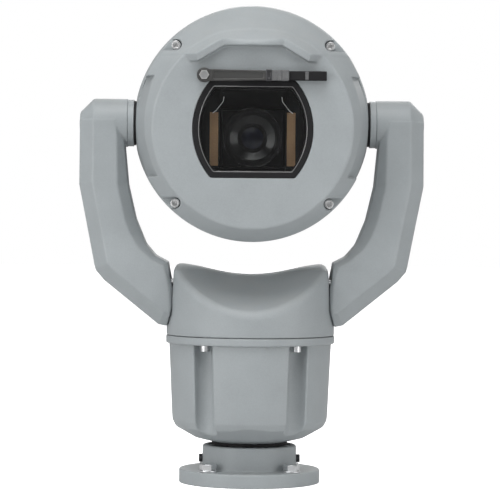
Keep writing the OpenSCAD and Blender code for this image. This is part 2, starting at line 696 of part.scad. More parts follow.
// Bevelled front of the head: an oblique cone from the rim to the brow's edge.
module bevel_cone(inset) hull() {
    cone_end(head_r - inset, -bevel_y, 0);
    cone_end(brow_r - inset, -brow_y, brow_drop);
}
module cone_end(r, y, drop) translate([0, y, -drop]) rotate([-90, 0, 0])
    cylinder(r = r, h = eps, $fn = hull_fn);
module brow_keep() rotate([90, 0, 0]) linear_extrude(brow_y + 1) polygon([
    [-120, brow_z], [-brow_half, brow_z], [-brow_peak_half, brow_peak_z], [brow_peak_half, brow_peak_z],
    [brow_half, brow_z], [120, brow_z], [120, 120], [-120, 120]
]);
module front_solid(inset) {
    rod_y(head_r - inset, -bevel_y, -joint_y + (inset > 0 ? 1 : 0));
    intersection() {
        bevel_cone(inset);
        translate([-150, inset - face_y, -150]) cube([300, 100, 300]);
    }
}
module brow_solid() intersection() {
    bevel_cone(0);
    brow_keep();
}
module side_relief(grow) both_sides() translate([relief_x - grow, -face_y, -relief_drop])
    rotate([0, 0, -relief_slope]) translate([0, -30, -relief_half - grow])
        cube([40, 31 + (face_y - joint_y) / cos(relief_slope) + 5 * grow, 2 * (relief_half + grow)]);
module at_pockets() for (sx = [-1, 1], sz = [-1, 1])
    translate([sx * pocket_x, 0, sz * pocket_z - pocket_drop]) children();
// Slots that open the screw pockets to the side, down to a floor at -floor_y.
module pocket_slots(grow, floor_y) for (sx = [-1, 1], sz = [-1, 1])
    translate([sx * pocket_x, 0, sz * pocket_z - pocket_drop])
        translate([sx > 0 ? 0 : -40, -face_y, -pocket_r - grow])
            cube([40, face_y - floor_y, 2 * (pocket_r + grow)]);
// Window outline: two arcs between a flat top and bottom, taken in by inset.
module window_outline(inset) intersection() {
    square([window_w, window_h - 2 * inset], center = true);
    translate([window_w / 2 - window_arc_r, 0]) circle(r = window_arc_r - inset, $fn = 120);
    translate([window_arc_r - window_w / 2, 0]) circle(r = window_arc_r - inset, $fn = 120);
}
module window_prism(inset, y0, y1) translate([0, y1, window_z]) rotate([90, 0, 0])
    linear_extrude(y1 - y0) window_outline(inset);
module front_cover() color([0.58, 0.61, 0.62]) at_head() difference() {
    union() {
        difference() {
            union() {
                front_solid(0);
                brow_solid();
            }
            difference() {
                front_solid(head_wall);
                at_pockets() rod_y(pocket_r + 3, -face_y, -joint_y);
                pocket_slots(3, pocket_y - 4);
                side_relief(head_wall);
                translate([pivot_x, 0, pivot_z]) rod_y(bush_r + 4, -face_y, -face_y + 10);
            }
        }
    }
    side_relief(0);
    at_pockets() rod_y(pocket_r, -face_y, -pocket_y);
    pocket_slots(0, pocket_y);
    window_prism(0, -face_y - 1, -face_y + 20);
    at_pockets() rod_y(m4_r + screw_gap, -face_y, -joint_y + 1);
    seal_ring(seat_gap);
    translate([pivot_x, 0, pivot_z]) rod_y(bush_r, -face_y - 1, -face_y + 12);
}

module dome_profile(inset) polygon(concat(
    [[0, -joint_y + (inset > 0 ? -1 : 0)], [head_r - inset, -joint_y + (inset > 0 ? -1 : 0)],
     [head_r - inset, dome_y]],
    [for (a = [deg_step * 2:deg_step * 2:90]) [
        dome_end_r + (head_r - inset - dome_end_r) * cos(a), dome_y + (back_y - inset - dome_y) * sin(a)
    ]],
    [[0, back_y - inset]]
));
module rear_shell() color([0.55, 0.58, 0.59]) at_head() difference() {
    union() {
        difference() {
            rotate([-90, 0, 0]) rotate_extrude() dome_profile(0);
            rotate([-90, 0, 0]) rotate_extrude() dome_profile(head_wall);
        }
        intersection() {
            rotate([-90, 0, 0]) rotate_extrude() dome_profile(0);
            union() {
                both_sides() rod_x(boss_r, boss_x0, head_r);
                at_standoffs() rod_x(standoff_r + 2, boss_x0, head_r);
                at_pockets() rod_y(6, -joint_y, -joint_y + 22);
                translate([0, -joint_y, 0]) for (sx = [-1, 1], sz = [-1, 1])
                    translate([sx > 0 ? pocket_x : -head_r, 0, sz * pocket_z - pocket_drop - 3])
                        cube([head_r - pocket_x, 22, 6]);
                for (x = [-foot_x, foot_x], y = foot_y) translate([x, y, -head_r])
                    cylinder(r = 4, h = head_r + bracket_z0);
                at_fan_posts() rod_y(3, fan_y + fan_w, back_y);
            }
        }
        rod_y(vent_r, back_y - eps, back_y + 3);
    }
    both_sides() {
        translate([flat_x, -60, -60]) cube([20, 120, 120]);
        rod_x(tilt_bearing_r, boss_x0 - 1, tilt_bearing_x0 + tilt_bearing_w);
        rod_x(axle_r + 1.5, boss_x0 - 1, head_r + 1);
    }
    at_pockets() rod_y(m4_r + screw_gap, -joint_y - 1, -joint_y + 16);
    seal_ring(seat_gap);
    for (a = [30:60:330]) rotate([0, a, 0]) translate([vent_r - 6, 0, 0]) rod_y(1.6, back_y - 2, back_y + 4);
}
module seal_ring(grow) tube_y(head_r - head_wall - 1.6 - grow, head_r - head_wall - seat_gap + grow,
    -joint_y - 1.2 - grow, -joint_y + 1.2 + grow);
module joint_seal() color([0.07, 0.07, 0.07]) at_head() difference() {
    seal_ring(0);
    at_pockets() rod_y(m4_r + screw_gap, -face_y, 0);
}
module cover_screws() color([0.75, 0.76, 0.78]) at_head() at_pockets()
    translate([0, -pocket_y, 0]) rotate([90, 0, 0])
        cap_screw(m4_r, m4_head_r, m4_head_h, pocket_y - joint_y + 12);
module tilt_seals() color([0.07, 0.07, 0.07]) at_head() both_sides()
    tube_x(axle_r + slip_gap, axle_flange_r - 1, seal_x0, seal_x1);

module at_tilt_pinion() translate([0, 0, tilt_z]) rotate([tilt_motor_angle, 0, 0])
    translate([tilt_gear_x, tilt_centre, 0]) rotate([90, 0, 90]) children();
module tilt_pinion() color([0.72, 0.62, 0.35]) at_tilt_pinion() {
    rotate([0, 0, gap_turn(tilt_pinion_teeth)])
        spur_gear(tilt_module, tilt_pinion_teeth, motor_shaft_r - eps, tilt_gear_w);
    translate([0, 0, tilt_motor_x1 - tilt_gear_x - 5]) cylinder(r = motor_shaft_r, h = tilt_gear_w + 14);
}
module at_tilt_motor() translate([0, tilt_motor_y, tilt_motor_z]) children();
module tilt_motor() color([0.25, 0.25, 0.27]) at_head() at_tilt_motor() difference() {
    union() {
        rod_x(motor_r, tilt_motor_x1 - tilt_motor_len, tilt_motor_x1);
        rod_x(4.5, tilt_motor_x1 - eps, tilt_motor_x1 + bracket_t);
    }
    rod_x(motor_shaft_r + 0.5, tilt_motor_x1 - 6, tilt_motor_x1 + bracket_t + 1);
}
// Plate that holds the tilt motor, on three standoffs from the bearing boss.
module at_standoffs() for (a = [150, 210, 300]) rotate([a, 0, 0]) translate([0, standoff_at, 0]) children();
module tilt_motor_bracket() color([0.5, 0.5, 0.52]) at_head() {
    difference() {
        hull() {
            at_standoffs() rod_x(standoff_r + 2, tilt_motor_x1, tilt_motor_x1 + bracket_t);
            at_tilt_motor() rod_x(motor_r, tilt_motor_x1, tilt_motor_x1 + bracket_t);
        }
        rod_x(axle_r + 2, tilt_motor_x1 - 1, tilt_motor_x1 + bracket_t + 1);
        at_tilt_motor() rod_x(4.6, tilt_motor_x1 - 1, tilt_motor_x1 + bracket_t + 1);
    }
    at_standoffs() rod_x(standoff_r, tilt_motor_x1 + bracket_t - eps, boss_x0);
}

module window_frame() color([0.04, 0.04, 0.045]) at_head() difference() {
    window_prism(seat_gap / 2, -face_y - 0.4, -face_y + head_wall);
    window_prism(window_frame, -face_y - 1, -face_y + head_wall + 1);
}
module window_pane() color([0.5, 0.55, 0.55, 0.3]) at_head()
    window_prism(window_frame + seat_gap / 2, -glass_y, -glass_y + glass_t);
module window_retainer() color([0.1, 0.1, 0.11]) at_head() difference() {
    window_prism(-ledge, -face_y + head_wall + seat_gap, -face_y + head_wall + 2.1);
    window_prism(window_frame + 1.5, -face_y, -face_y + 20);
    translate([pivot_x, 0, pivot_z]) rod_y(bush_r + 5, -face_y, 0);
}
// Black baffle behind the window: a top plate that slopes back and two side plates.
module light_baffle() color([0.06, 0.06, 0.065]) at_head() {
    translate([-bracket_x, 0, 0]) rotate([90, 0, 90]) linear_extrude(2 * bracket_x) polygon([
        [-face_y + 7.5, 24.5], [-face_y + 7.5, 26.3], [barrel_y + 1, lens_z + block_h / 2 + 3],
        [block_y0 + 6, lens_z + block_h / 2 + 3], [block_y0 + 6, lens_z + block_h / 2 + 1.2],
        [barrel_y, lens_z + block_h / 2 + 1.2]
    ]);
}
module camera_bracket() color([0.08, 0.08, 0.085]) at_head() {
    translate([-bracket_x - sheet_t, tab_y, bracket_z0])
        cube([2 * (bracket_x + sheet_t), block_y1 - tab_y, sheet_t]);
    both_sides() {
        translate([bracket_x, tab_y, bracket_z0]) cube([sheet_t, block_y1 - tab_y, block_h + 5.2]);
        translate([bracket_x, tab_y, lens_z - 34]) cube([tab_w + 3, sheet_t, 68]);
    }
}
module heater_strips() color([0.55, 0.42, 0.3]) at_head() both_sides()
    translate([bracket_x + 1.2, tab_y - 0.7, lens_z - block_h / 2]) cube([7.2, 0.6, block_h - 2.5]);

module camera_block() color([0.09, 0.09, 0.095]) at_head() difference() {
    translate([-block_w / 2, block_y0, lens_z - block_h / 2]) cube([block_w, block_y1 - block_y0, block_h]);
    translate([0, 0, lens_z]) rod_y(lens_bore_r, block_y0 - 1, block_y1 - 14);
    translate([-22, block_y1 - 12, lens_z - 20]) cube([44, 13, 40]);
    translate([0, 0, lens_z]) rod_y(7, block_y1 - 15, block_y1 - 8);
}
module lens_barrel() color([0.05, 0.05, 0.055]) at_head() translate([0, 0, lens_z]) rotate([90, 0, 0])
    rotate_extrude() polygon([
        [13, -block_y0 - 3], [13, -block_y0 - 1.5],
        [lens_bore_r - 0.5, -barrel_y], [barrel_r - 1, -barrel_y],
        [barrel_r, -barrel_y - 1], [barrel_r, -block_y0 + seat_gap],
        [lens_bore_r - seat_gap, -block_y0 + seat_gap], [lens_bore_r - seat_gap, -block_y0 - 12],
        [lens_bore_r - 2, -block_y0 - 12], [lens_bore_r - 2, -block_y0 - 3]
    ]);
// Convex lens, axis Y, from a disc and a shallow cap.
module lens(r, y0, t, bulge) translate([0, y0 + t, 0]) rotate([90, 0, 0]) rotate_extrude() polygon(concat(
    [[0, 0], [r, 0], [r, t - bulge]], [for (a = [15:15:90]) [r * cos(a), t - bulge + bulge * sin(a)]]
));
module front_lens() color([0.25, 0.3, 0.4, 0.5]) at_head() translate([0, 0, lens_z])
    lens(lens_bore_r - 2.2, block_y0 + 3.2, 5, 2);
module lens_carrier(y0, w, lens_r) {
    tube_y(lens_r + seat_gap, lens_bore_r - slip_gap - 3, y0, y0 + w);
    lens(lens_r, y0 + 1, w - 2, 1.2);
}
module zoom_group() color([0.2, 0.22, 0.26]) at_head() translate([0, 0, lens_z]) lens_carrier(-31, 8, 11);
module focus_group() color([0.2, 0.22, 0.26]) at_head() translate([0, 0, lens_z]) lens_carrier(3, 6, 9);
module sensor_board() color([0.1, 0.35, 0.2]) at_head() {
    translate([-20, block_y1 - 6, lens_z - 18]) cube([40, 1.6, 36]);
    translate([-7, block_y1 - 8, lens_z - 6]) cube([14, 2 + eps, 12]);
}

module wiper_motor() color([0.25, 0.25, 0.27]) at_head() translate([pivot_x, 0, pivot_z]) difference() {
    union() {
        rod_y(12, -face_y + 14, -face_y + 34);
        translate([0, 0, -2]) rod_y(9, -face_y + 34 - eps, -face_y + 54);
        rod_y(bush_r - seat_gap, -face_y - 3, -face_y + 14 + eps);
    }
    rod_y(wiper_shaft_r + run_gap, -face_y - 4, -face_y + 24);
}

module at_fan_posts() for (x = [-1, 1], z = [-1, 1])
    translate([x * (fan_half - 3), 0, fan_z + z * (fan_half - 3)]) children();
module at_fan() translate([0, fan_y, tilt_z + fan_z]) rotate([-90, 0, 0]) children();
module fan_frame() color([0.1, 0.1, 0.11]) at_fan() {
    difference() {
        translate([-fan_half, -fan_half, 0]) cube([2 * fan_half, 2 * fan_half, fan_w]);
        translate([0, 0, -1]) cylinder(r = fan_half - 1.2, h = 12);
    }
    tube(1.6, 8, 1.5);
    for (a = [0:120:240]) rotate([0, 0, a + 30]) translate([7.5, -1, 0]) cube([fan_half - 8, 2, 1.5]);
}
module fan_rotor() color([0.14, 0.14, 0.15]) at_fan() {
    translate([0, 0, 2]) cylinder(r = 9, h = 7.5);
    cylinder(r = 1.5, h = 2 + eps);
    for (i = [0:6]) rotate([0, 0, i * 360 / 7]) translate([8.5, 0, 5.5]) rotate([38, 0, 0])
        translate([0, -4, -0.5]) cube([9, 8, 1]);
}

// ---- wiper, which swings over the window ----

module at_pivot() translate([pivot_x, 0, tilt_z + pivot_z]) children();
module wiper_shaft() color([0.7, 0.7, 0.72]) at_pivot() rod_y(wiper_shaft_r, -boss_y0 - 8, -face_y + 23);
module wiper_arm() color([0.28, 0.28, 0.28]) at_pivot() difference() {
    union() {
        rod_y(5.8, -boss_y0 - 6.5, -boss_y0);
        rotate([90, 0, 0]) translate([0, 0, boss_y0 + 2]) linear_extrude(3.5) polygon([
            [0, -4.4], [0, 4.4], [wiper_mid - 6, 4.2], [wiper_mid + 4, 3.6],
            [wiper_mid + 4, -3.2], [wiper_mid - 6, -3]
        ]);
        translate([wiper_mid - 6, -boss_y0 - 7, -4.6]) cube([10, 5, 9]);
    }
    rod_y(wiper_shaft_r + seat_gap / 2, -boss_y0 - 20, 0);
}
module wiper_nut() color([0.85, 0.86, 0.88]) at_pivot() difference() {
    translate([0, -boss_y0 - 6.6, 0]) rotate([90, 0, 0]) cylinder(r = 4.2, h = 3, $fn = 6);
    rod_y(wiper_shaft_r + seat_gap / 2, -boss_y0 - 20, 0);
}
module wiper_blade() color([0.1, 0.1, 0.1]) at_pivot() {
    translate([wiper_mid - 36, -boss_y0 - 1.6, -blade_half_h])
        cube([wiper_reach - wiper_mid + 36, 3.4, 2 * blade_half_h]);
    translate([wiper_mid - 35, -boss_y0 + 1.7, -0.8]) cube([wiper_reach - wiper_mid + 34, 2.2, 1.6]);
}

base_casting();
base_bolts();
base_washers();
collar_screws();
base_connector();
pan_gear();
pan_lock_nut();
pan_inner_races();
pan_outer_races();
pan_balls();
slip_ring_stator();
body_casting();
pan_seal();
pan_motor();
pan_motor_plate();
pan_pinion();
slip_ring_rotor();
control_board();
board_parts();
shoulder_casting();
shoulder_screws();
left_arm();
right_arm();
arm_screws();
left_arm_cover();
right_arm_cover();
arm_cover_screws();
left_axle();
right_axle();
tilt_inner_races();
tilt_gear();
front_cover();
rear_shell();
joint_seal();
cover_screws();
tilt_seals();
tilt_outer_races();
tilt_balls();
tilt_motor();
tilt_motor_bracket();
tilt_pinion();
window_pane();
window_frame();
window_retainer();
light_baffle();
camera_bracket();
heater_strips();
camera_block();
lens_barrel();
front_lens();
zoom_group();
focus_group();
sensor_board();
wiper_motor();
fan_frame();
fan_rotor();
wiper_shaft();
wiper_arm();
wiper_nut();
wiper_blade();
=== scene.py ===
"""Pan-tilt-zoom camera: a flanged base, a fluted turning body, a two-arm yoke and
a round tilting head with a window, a lens and a wiper.

Castings are built as solids of distance, in millimetres, and skinned into meshes
with true normals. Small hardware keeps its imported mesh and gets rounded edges.
"""
import json
import math
import bpy
import numpy as np
from mathutils import Matrix, Vector


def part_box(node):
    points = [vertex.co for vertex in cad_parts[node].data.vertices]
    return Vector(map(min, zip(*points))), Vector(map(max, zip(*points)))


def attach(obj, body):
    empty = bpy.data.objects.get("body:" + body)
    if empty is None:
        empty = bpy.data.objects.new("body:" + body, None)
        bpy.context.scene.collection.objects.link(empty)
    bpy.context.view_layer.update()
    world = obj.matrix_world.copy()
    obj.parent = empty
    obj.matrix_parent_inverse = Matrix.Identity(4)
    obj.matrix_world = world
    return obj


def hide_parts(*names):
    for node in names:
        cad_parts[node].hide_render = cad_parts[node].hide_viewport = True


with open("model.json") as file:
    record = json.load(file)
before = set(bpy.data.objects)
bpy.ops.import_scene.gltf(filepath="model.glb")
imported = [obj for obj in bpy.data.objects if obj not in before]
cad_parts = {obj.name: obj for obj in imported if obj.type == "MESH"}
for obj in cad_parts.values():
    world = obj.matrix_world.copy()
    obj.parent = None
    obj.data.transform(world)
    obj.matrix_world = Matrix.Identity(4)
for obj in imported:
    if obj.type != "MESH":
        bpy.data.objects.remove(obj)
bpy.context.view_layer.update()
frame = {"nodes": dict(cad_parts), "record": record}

MM = 0.001


# ---------------------------------------------------------------- sizes

def box_mm(node):
    low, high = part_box(node)
    return [v / MM for v in low], [v / MM for v in high]


def joint_at(name):
    joints = frame["record"]["behaviour"]["joints"]
    return [v / MM for v in next(j for j in joints if j["name"] == name)["pos_m"]]


TILT = joint_at("tilt")[2]
FLANGE_R = box_mm("base_casting")[1][0]
FLANGE_TOP = box_mm("base_washers")[0][2]
BOLT_SEAT = box_mm("base_washers")[1][2]
BODY_FOOT = box_mm("body_casting")[0][2]
RING_TOP = box_mm("body_casting")[1][2]
RING_R = box_mm("body_casting")[1][0]
RING_FOOT = RING_TOP - 7
COLLAR_R = 41
COLLAR_TOP = BODY_FOOT - 2.5
SHOULDER_TOP = box_mm("shoulder_casting")[1][2]
YOKE_X = box_mm("right_arm")[1][0]
KNEE = TILT - 54
HEAD_R = box_mm("rear_shell")[1][2] - TILT
RIM_R = HEAD_R - 3
HEAD_JOINT = -32
HEAD_FACE = -86
PANE_FRONT = box_mm("window_pane")[0][1]
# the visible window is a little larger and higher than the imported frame
WINDOW_LOW, WINDOW_HIGH = box_mm("window_frame")
WINDOW_W = WINDOW_HIGH[0] - WINDOW_LOW[0] + 1.9
WINDOW_H = WINDOW_HIGH[2] - WINDOW_LOW[2] + 1.5
WINDOW_Z = (WINDOW_HIGH[2] + WINDOW_LOW[2]) / 2 - TILT + 1.3
PIVOT = joint_at("wipe")
CAST_WALL = 4
BOLT_CIRCLE = 101.6
BOLT_AT = BOLT_CIRCLE / 2 * math.sqrt(0.5)
FLUTE_AT, FLUTE_R, FLUTE_TURN = 66, 9.5, 36
SHOULDER_R = 73.6
HUB_R = 21
POCKET_X, POCKET_UP, POCKET_DOWN = HEAD_R - 37.7, 63.9, -69.9
LENS_UP = -14
BEVEL_START = -62
EDGE_45 = 0.70711


# ---------------------------------------------------------------- solids of distance

def disc(a, b, r):
    """Distance from a circle of radius r in the plane of a and b."""
    return np.hypot(a, b) - r


def both(a, b, soft=0.0):
    """Where a and b overlap, with the edge between them rounded by soft."""
    if not soft:
        return np.maximum(a, b)
    return np.minimum(np.maximum(a, b), -soft) + np.hypot(np.maximum(a + soft, 0), np.maximum(b + soft, 0))


def either(a, b, soft=0.0):
    return -both(-a, -b, soft)


def less(a, b, soft=0.0):
    return both(a, -b, soft)


def bevel(a, b, leg, soft=0.0):
    """Where a and b overlap, with a flat bevel of that leg on their edge."""
    return both(np.maximum(a, b), (a + b + leg) * EDGE_45, soft)


def between(a, low, high):
    return np.maximum(low - a, a - high)


def soft_abs(a, r):
    """Size of a, with the corner at zero rounded off out to r."""
    return np.where(np.abs(a) < r, a * a / (2 * r) + r / 2, np.abs(a))


def outline(points, a, b):
    """Distance from a closed outline in the plane of a and b, negative inside."""
    near, inside = None, None
    for (ax, ay), (bx, by) in zip(points, points[1:] + points[:1]):
        ex, ey = bx - ax, by - ay
        wx, wy = a - ax, b - ay
        t = np.clip((wx * ex + wy * ey) / (ex * ex + ey * ey), 0, 1)
        d = (wx - ex * t) ** 2 + (wy - ey * t) ** 2
        near = d if near is None else np.minimum(near, d)
        if ay != by:
            flips = ((ay > b) != (by > b)) & (a < ex * (b - ay) / ey + ax)
            inside = flips if inside is None else inside ^ flips
    return np.sqrt(near) * np.where(inside, -1.0, 1.0)


def eased(corners, steps=4):
    """A closed outline from (a, b, radius) corners, each one turned into an arc."""
    points = []
    for i, (x, y, r) in enumerate(corners):
        if not r:
            points.append((x, y))
            continue
        here = Vector((x, y))
        back = Vector(corners[i - 1][:2]) - here
        ahead = Vector(corners[(i + 1) % len(corners)][:2]) - here
        reach = min(r / math.tan(back.angle(ahead) / 2), back.length * 0.48, ahead.length * 0.48)
        a, b = here + back.normalized() * reach, here + ahead.normalized() * reach
        for k in range(steps + 1):
            t = k / steps
            p = a * (1 - t) ** 2 + here * 2 * t * (1 - t) + b * t * t
            points.append((p.x, p.y))
    return points


def slope_of(field, p, reach):
    """Gradient of a field at points p."""
    g = np.empty_like(p)
    for k in range(3):
        step = np.zeros(3)
        step[k] = reach
        q, w = p + step, p - step
        g[:, k] = field(q[:, 0], q[:, 1], q[:, 2]) - field(w[:, 0], w[:, 1], w[:, 2])
    return g / (2 * reach)


def skin(field, low, high, step, crisp=0.25):
    """Surface of a field as (vertices, quads, normals): one vertex in each cell that
    the surface crosses, then pulled onto the surface itself."""
    low, high = np.array(low, float) - step * 1.37, np.array(high, float) + step * 1.37
    n = np.ceil((high - low) / step).astype(int) + 1
    ax = [low[k] + step * np.arange(n[k]) for k in range(3)]
    f = field(ax[0][:, None, None], ax[1][None, :, None], ax[2][None, None, :])
    f = np.broadcast_to(f, tuple(n)).astype(np.float32)
    solid = f < 0
    count = np.zeros(tuple(n - 1), np.int8)
    corners = [(i, j, k) for i in (0, 1) for j in (0, 1) for k in (0, 1)]
    for i, j, k in corners:
        count += solid[i:n[0] - 1 + i, j:n[1] - 1 + j, k:n[2] - 1 + k]
    cells = np.argwhere((count > 0) & (count < 8))
    index = np.full(tuple(n - 1), -1, np.int32)
    index[tuple(cells.T)] = np.arange(len(cells))
    at = {c: f[cells[:, 0] + c[0], cells[:, 1] + c[1], cells[:, 2] + c[2]] for c in corners}
    total, hits = np.zeros((len(cells), 3)), np.zeros(len(cells))
    for a in corners:
        for k in range(3):
            if a[k]:
                continue
            b = tuple(1 if m == k else a[m] for m in range(3))
            cross = (at[a] < 0) != (at[b] < 0)
            t = np.where(cross, at[a] / np.where(cross, at[a] - at[b], 1), 0)
            for m in range(3):
                total[:, m] += np.where(cross, a[m] + (t if m == k else 0), 0)
            hits += cross
    points = low + step * (cells + total / hits[:, None])
    first = points.copy()
    for _ in range(3):
        g = slope_of(field, points, 0.05)
        size = np.maximum((g * g).sum(1), 0.15)
        value = field(points[:, 0], points[:, 1], points[:, 2])
        points = points - g * (np.clip(value, -step, step) / size)[:, None]
    drift = points - first
    length = np.linalg.norm(drift, axis=1)
    points = first + drift * np.minimum(1, 0.8 * step / np.maximum(length, 1e-9))[:, None]
    quads = []
    for k in range(3):
        u, v = (k + 1) % 3, (k + 2) % 3
        cut = [slice(1, -1)] * 3
        ahead = list(cut)
        cut[k], ahead[k] = slice(0, -1), slice(1, None)
        change = solid[tuple(cut)].astype(np.int8) - solid[tuple(ahead)].astype(np.int8)
        for way in (1, -1):
            p = np.argwhere(change == way)
            p[:, u] += 1
            p[:, v] += 1
            ring = []
            for du, dv in ((-1, -1), (0, -1), (0, 0), (-1, 0)):
                q = p.copy()
                q[:, u] += du
                q[:, v] += dv
                ring.append(index[tuple(q.T)])
            quads.append(np.stack(ring if way == 1 else ring[::-1], 1))
    quads = np.concatenate(quads)
    normals = slope_of(field, points, crisp)
    normals /= np.maximum(np.linalg.norm(normals, axis=1), 1e-9)[:, None]
    return points, quads, normals


def moved(shape, turn=0.0, to=(0, 0, 0), mirror=False):
    """A copy of a skinned shape, turned about Z or mirrored across X, then shifted."""
    p, q, n = (s.copy() for s in shape)
    if mirror:
        p[:, 0] *= -1
        n[:, 0] *= -1
        q = q[:, ::-1].copy()
    c, s = math.cos(turn), math.sin(turn)
    spin = np.array([[c, -s, 0], [s, c, 0], [0, 0, 1]])
    return p @ spin.T + np.array(to, float), q, n @ spin.T


def joined(shapes):
    starts = np.cumsum([0] + [len(s[0]) for s in shapes[:-1]])
    return (np.concatenate([s[0] for s in shapes]),
            np.concatenate([s[1] + a for s, a in zip(shapes, starts)]),
            np.concatenate([s[2] for s in shapes]))


def piece(name, shape, body, finish, stands_for=()):
    """Turns a skinned shape into a named piece on a CAD body."""
    points, quads, normals = shape
    mesh = bpy.data.meshes.new(name)
    mesh.vertices.add(len(points))
    mesh.vertices.foreach_set("co", (points * MM).astype(np.float32).ravel())
    mesh.loops.add(len(quads) * 4)
    mesh.loops.foreach_set("vertex_index", quads.astype(np.int32).ravel())
    mesh.polygons.add(len(quads))
    mesh.polygons.foreach_set("loop_start", np.arange(len(quads), dtype=np.int32) * 4)
    mesh.update(calc_edges=True)
    mesh.polygons.foreach_set("use_smooth", np.ones(len(quads), bool))
    mesh.normals_split_custom_set_from_vertices(normals.astype(np.float32).tolist())
    mesh.materials.append(finish)
    thing = bpy.data.objects.new(name, mesh)
    bpy.context.scene.collection.objects.link(thing)
    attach(thing, body)
    if stands_for:
        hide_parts(*stands_for)
    return thing


# ---------------------------------------------------------------- the castings

def base_solid(x, y, z):
    """Flange and collar with the bearing column, turned about the pan axis."""
    r = np.hypot(x, y)
    groove = COLLAR_TOP - 1.6
    turned = outline(eased([
        (22, 0, 0.6), (FLANGE_R, 0, 0.6), (FLANGE_R, FLANGE_TOP, 1.4), (COLLAR_R + 0.2, FLANGE_TOP, 1.8),
        (COLLAR_R, COLLAR_TOP, 3.6), (36.4, COLLAR_TOP, 0.5), (35.8, groove, 0.4), (21, groove, 0.4),
        (20, BODY_FOOT + 2.5, 0.3), (17.5, BODY_FOOT + 2.5, 0), (17.5, 71, 0.4), (15, 71, 0), (15, 86, 0.6),
        (9, 86, 0.6), (9, 20, 0), (21, 20, 0), (21, 12, 0), (22, 12, 0)]), r, z)
    for sx in (-1, 1):
        for sy in (-1, 1):
            turned = less(turned, disc(x - sx * BOLT_AT, y - sy * BOLT_AT, 4.5), 0.4)
    lock = both(disc(y, z - 20.8, 4.1), 40.2 - np.abs(x))
    return less(turned, lock, 0.3)


def body_line(inset):
    """Turned outline of the body; the inner one runs on past the open top."""
    top = RING_TOP + (3 if inset else 0)
    return eased([(-60, BODY_FOOT + inset, 0), (31 - inset, BODY_FOOT + inset, 1.5),
                  (48 - 0.3 * inset, BODY_FOOT + 4.2 + inset, 3),
                  (64.7 - 0.7 * inset, BODY_FOOT + 13.7 + 0.8 * inset, 5),
                  (67.6 - inset, BODY_FOOT + 19.4 + 0.3 * inset, 6), (68.1 - inset, BODY_FOOT + 26, 3),
                  (70.8 - inset, RING_FOOT, 0), (70.8 - inset, top, 0), (-60, top, 0)])


def flute_field(x, y, grow=0.0):
    """The four upright screw channels, open to the outside."""
    found = None
    for turn in (FLUTE_TURN, 180 - FLUTE_TURN, 180 + FLUTE_TURN, -FLUTE_TURN):
        s, c = math.sin(math.radians(turn)), math.cos(math.radians(turn))
        across, out = x * c - y * s, x * s + y * c - FLUTE_AT
        u = np.where(out > 0, np.abs(across), np.hypot(across, out)) - FLUTE_R - grow
        found = u if found is None else np.minimum(found, u)
    return found


def body_solid(x, y, z):
    """Hollow turning body: tapered foot with a flat in front, flutes, top ring."""
    r = np.hypot(x, y)
    wall = outline(body_line(0), r, z)
    flat = (-y - (62.6 + (z - BODY_FOOT - 13.7) * 1.758)) * 0.4944
    wall = both(wall, np.where(y < 0, flat, -50), 0.5)
    wall = both(wall, np.maximum(-flute_field(x, y), -80), 1.6)
    ring = both(r - RING_R, between(z, RING_FOOT, RING_TOP - 0.25), 0.9)
    solid = either(wall, ring, 0.3)
    hollow = outline(body_line(CAST_WALL), r, z)
    hollow = np.maximum(hollow, np.where(y < 0, flat + CAST_WALL, -50))
    hollow = np.maximum(hollow, -flute_field(x, y, 3.5))
    hub = np.maximum(r - 33, z - (BODY_FOOT + 32.5))
    hollow = np.maximum(hollow, -hub)
    for side in (-1, 1):
        hollow = np.maximum(hollow, -np.maximum(disc(x - 56, y - 15 * side, 4), z - 83))
    solid = less(solid, hollow, 0.4)
    low = BODY_FOOT + 2.5
    bore = np.maximum(r - 29, np.minimum(between(z, low, low + 10), between(z, low + 20, low + 34)))
    return less(solid, np.minimum(bore, r - 24.45), 0.3)


SIDE = eased([(-60, -20, 0), (SHOULDER_R, -20, 0), (SHOULDER_R, 8, 1), (72.3, 10.3, 1),
              (69.6, 23, 6), (67.8, 39, 8), (66.6, 62.5, 8), (-60, 62.5, 0)])


def shoulder_solid(x, y, z):
    """Saddle between the arms: a round drum scooped out before and behind its ridge."""
    up = z - RING_TOP
    tilt = math.radians(26)
    ridge = TILT - 131 - RING_TOP + 3.8
    drum = both(disc(x, y, SHOULDER_R), outline(SIDE, np.abs(x), up), 1.2)
    centre = ridge + 148 / math.cos(tilt)
    w = soft_abs(y, 16.0) * math.sin(tilt) + (up - centre) * math.cos(tilt)
    scoop = disc(x, w, 148)
    solid = both(drum, -scoop, 6.0)
    solid = both(solid, 0.2 - up, 0.7)
    hollow = np.maximum(np.maximum(drum + CAST_WALL, -scoop + CAST_WALL), -5 - up)
    s, c = math.sin(math.radians(FLUTE_TURN)), math.cos(math.radians(FLUTE_TURN))
    for side in (-1, 1):
        for ahead in (-1, 1):
            boss = np.maximum(disc(x - side * FLUTE_AT * s, y - ahead * FLUTE_AT * c, 8), up - 16)
            hollow = np.maximum(hollow, -boss)
    return less(solid, hollow, 0.4)


ARM_HALF = [(137, 31), (185.5, 31), (215.5, 27), (259.5, 24), (313.5, 21)]


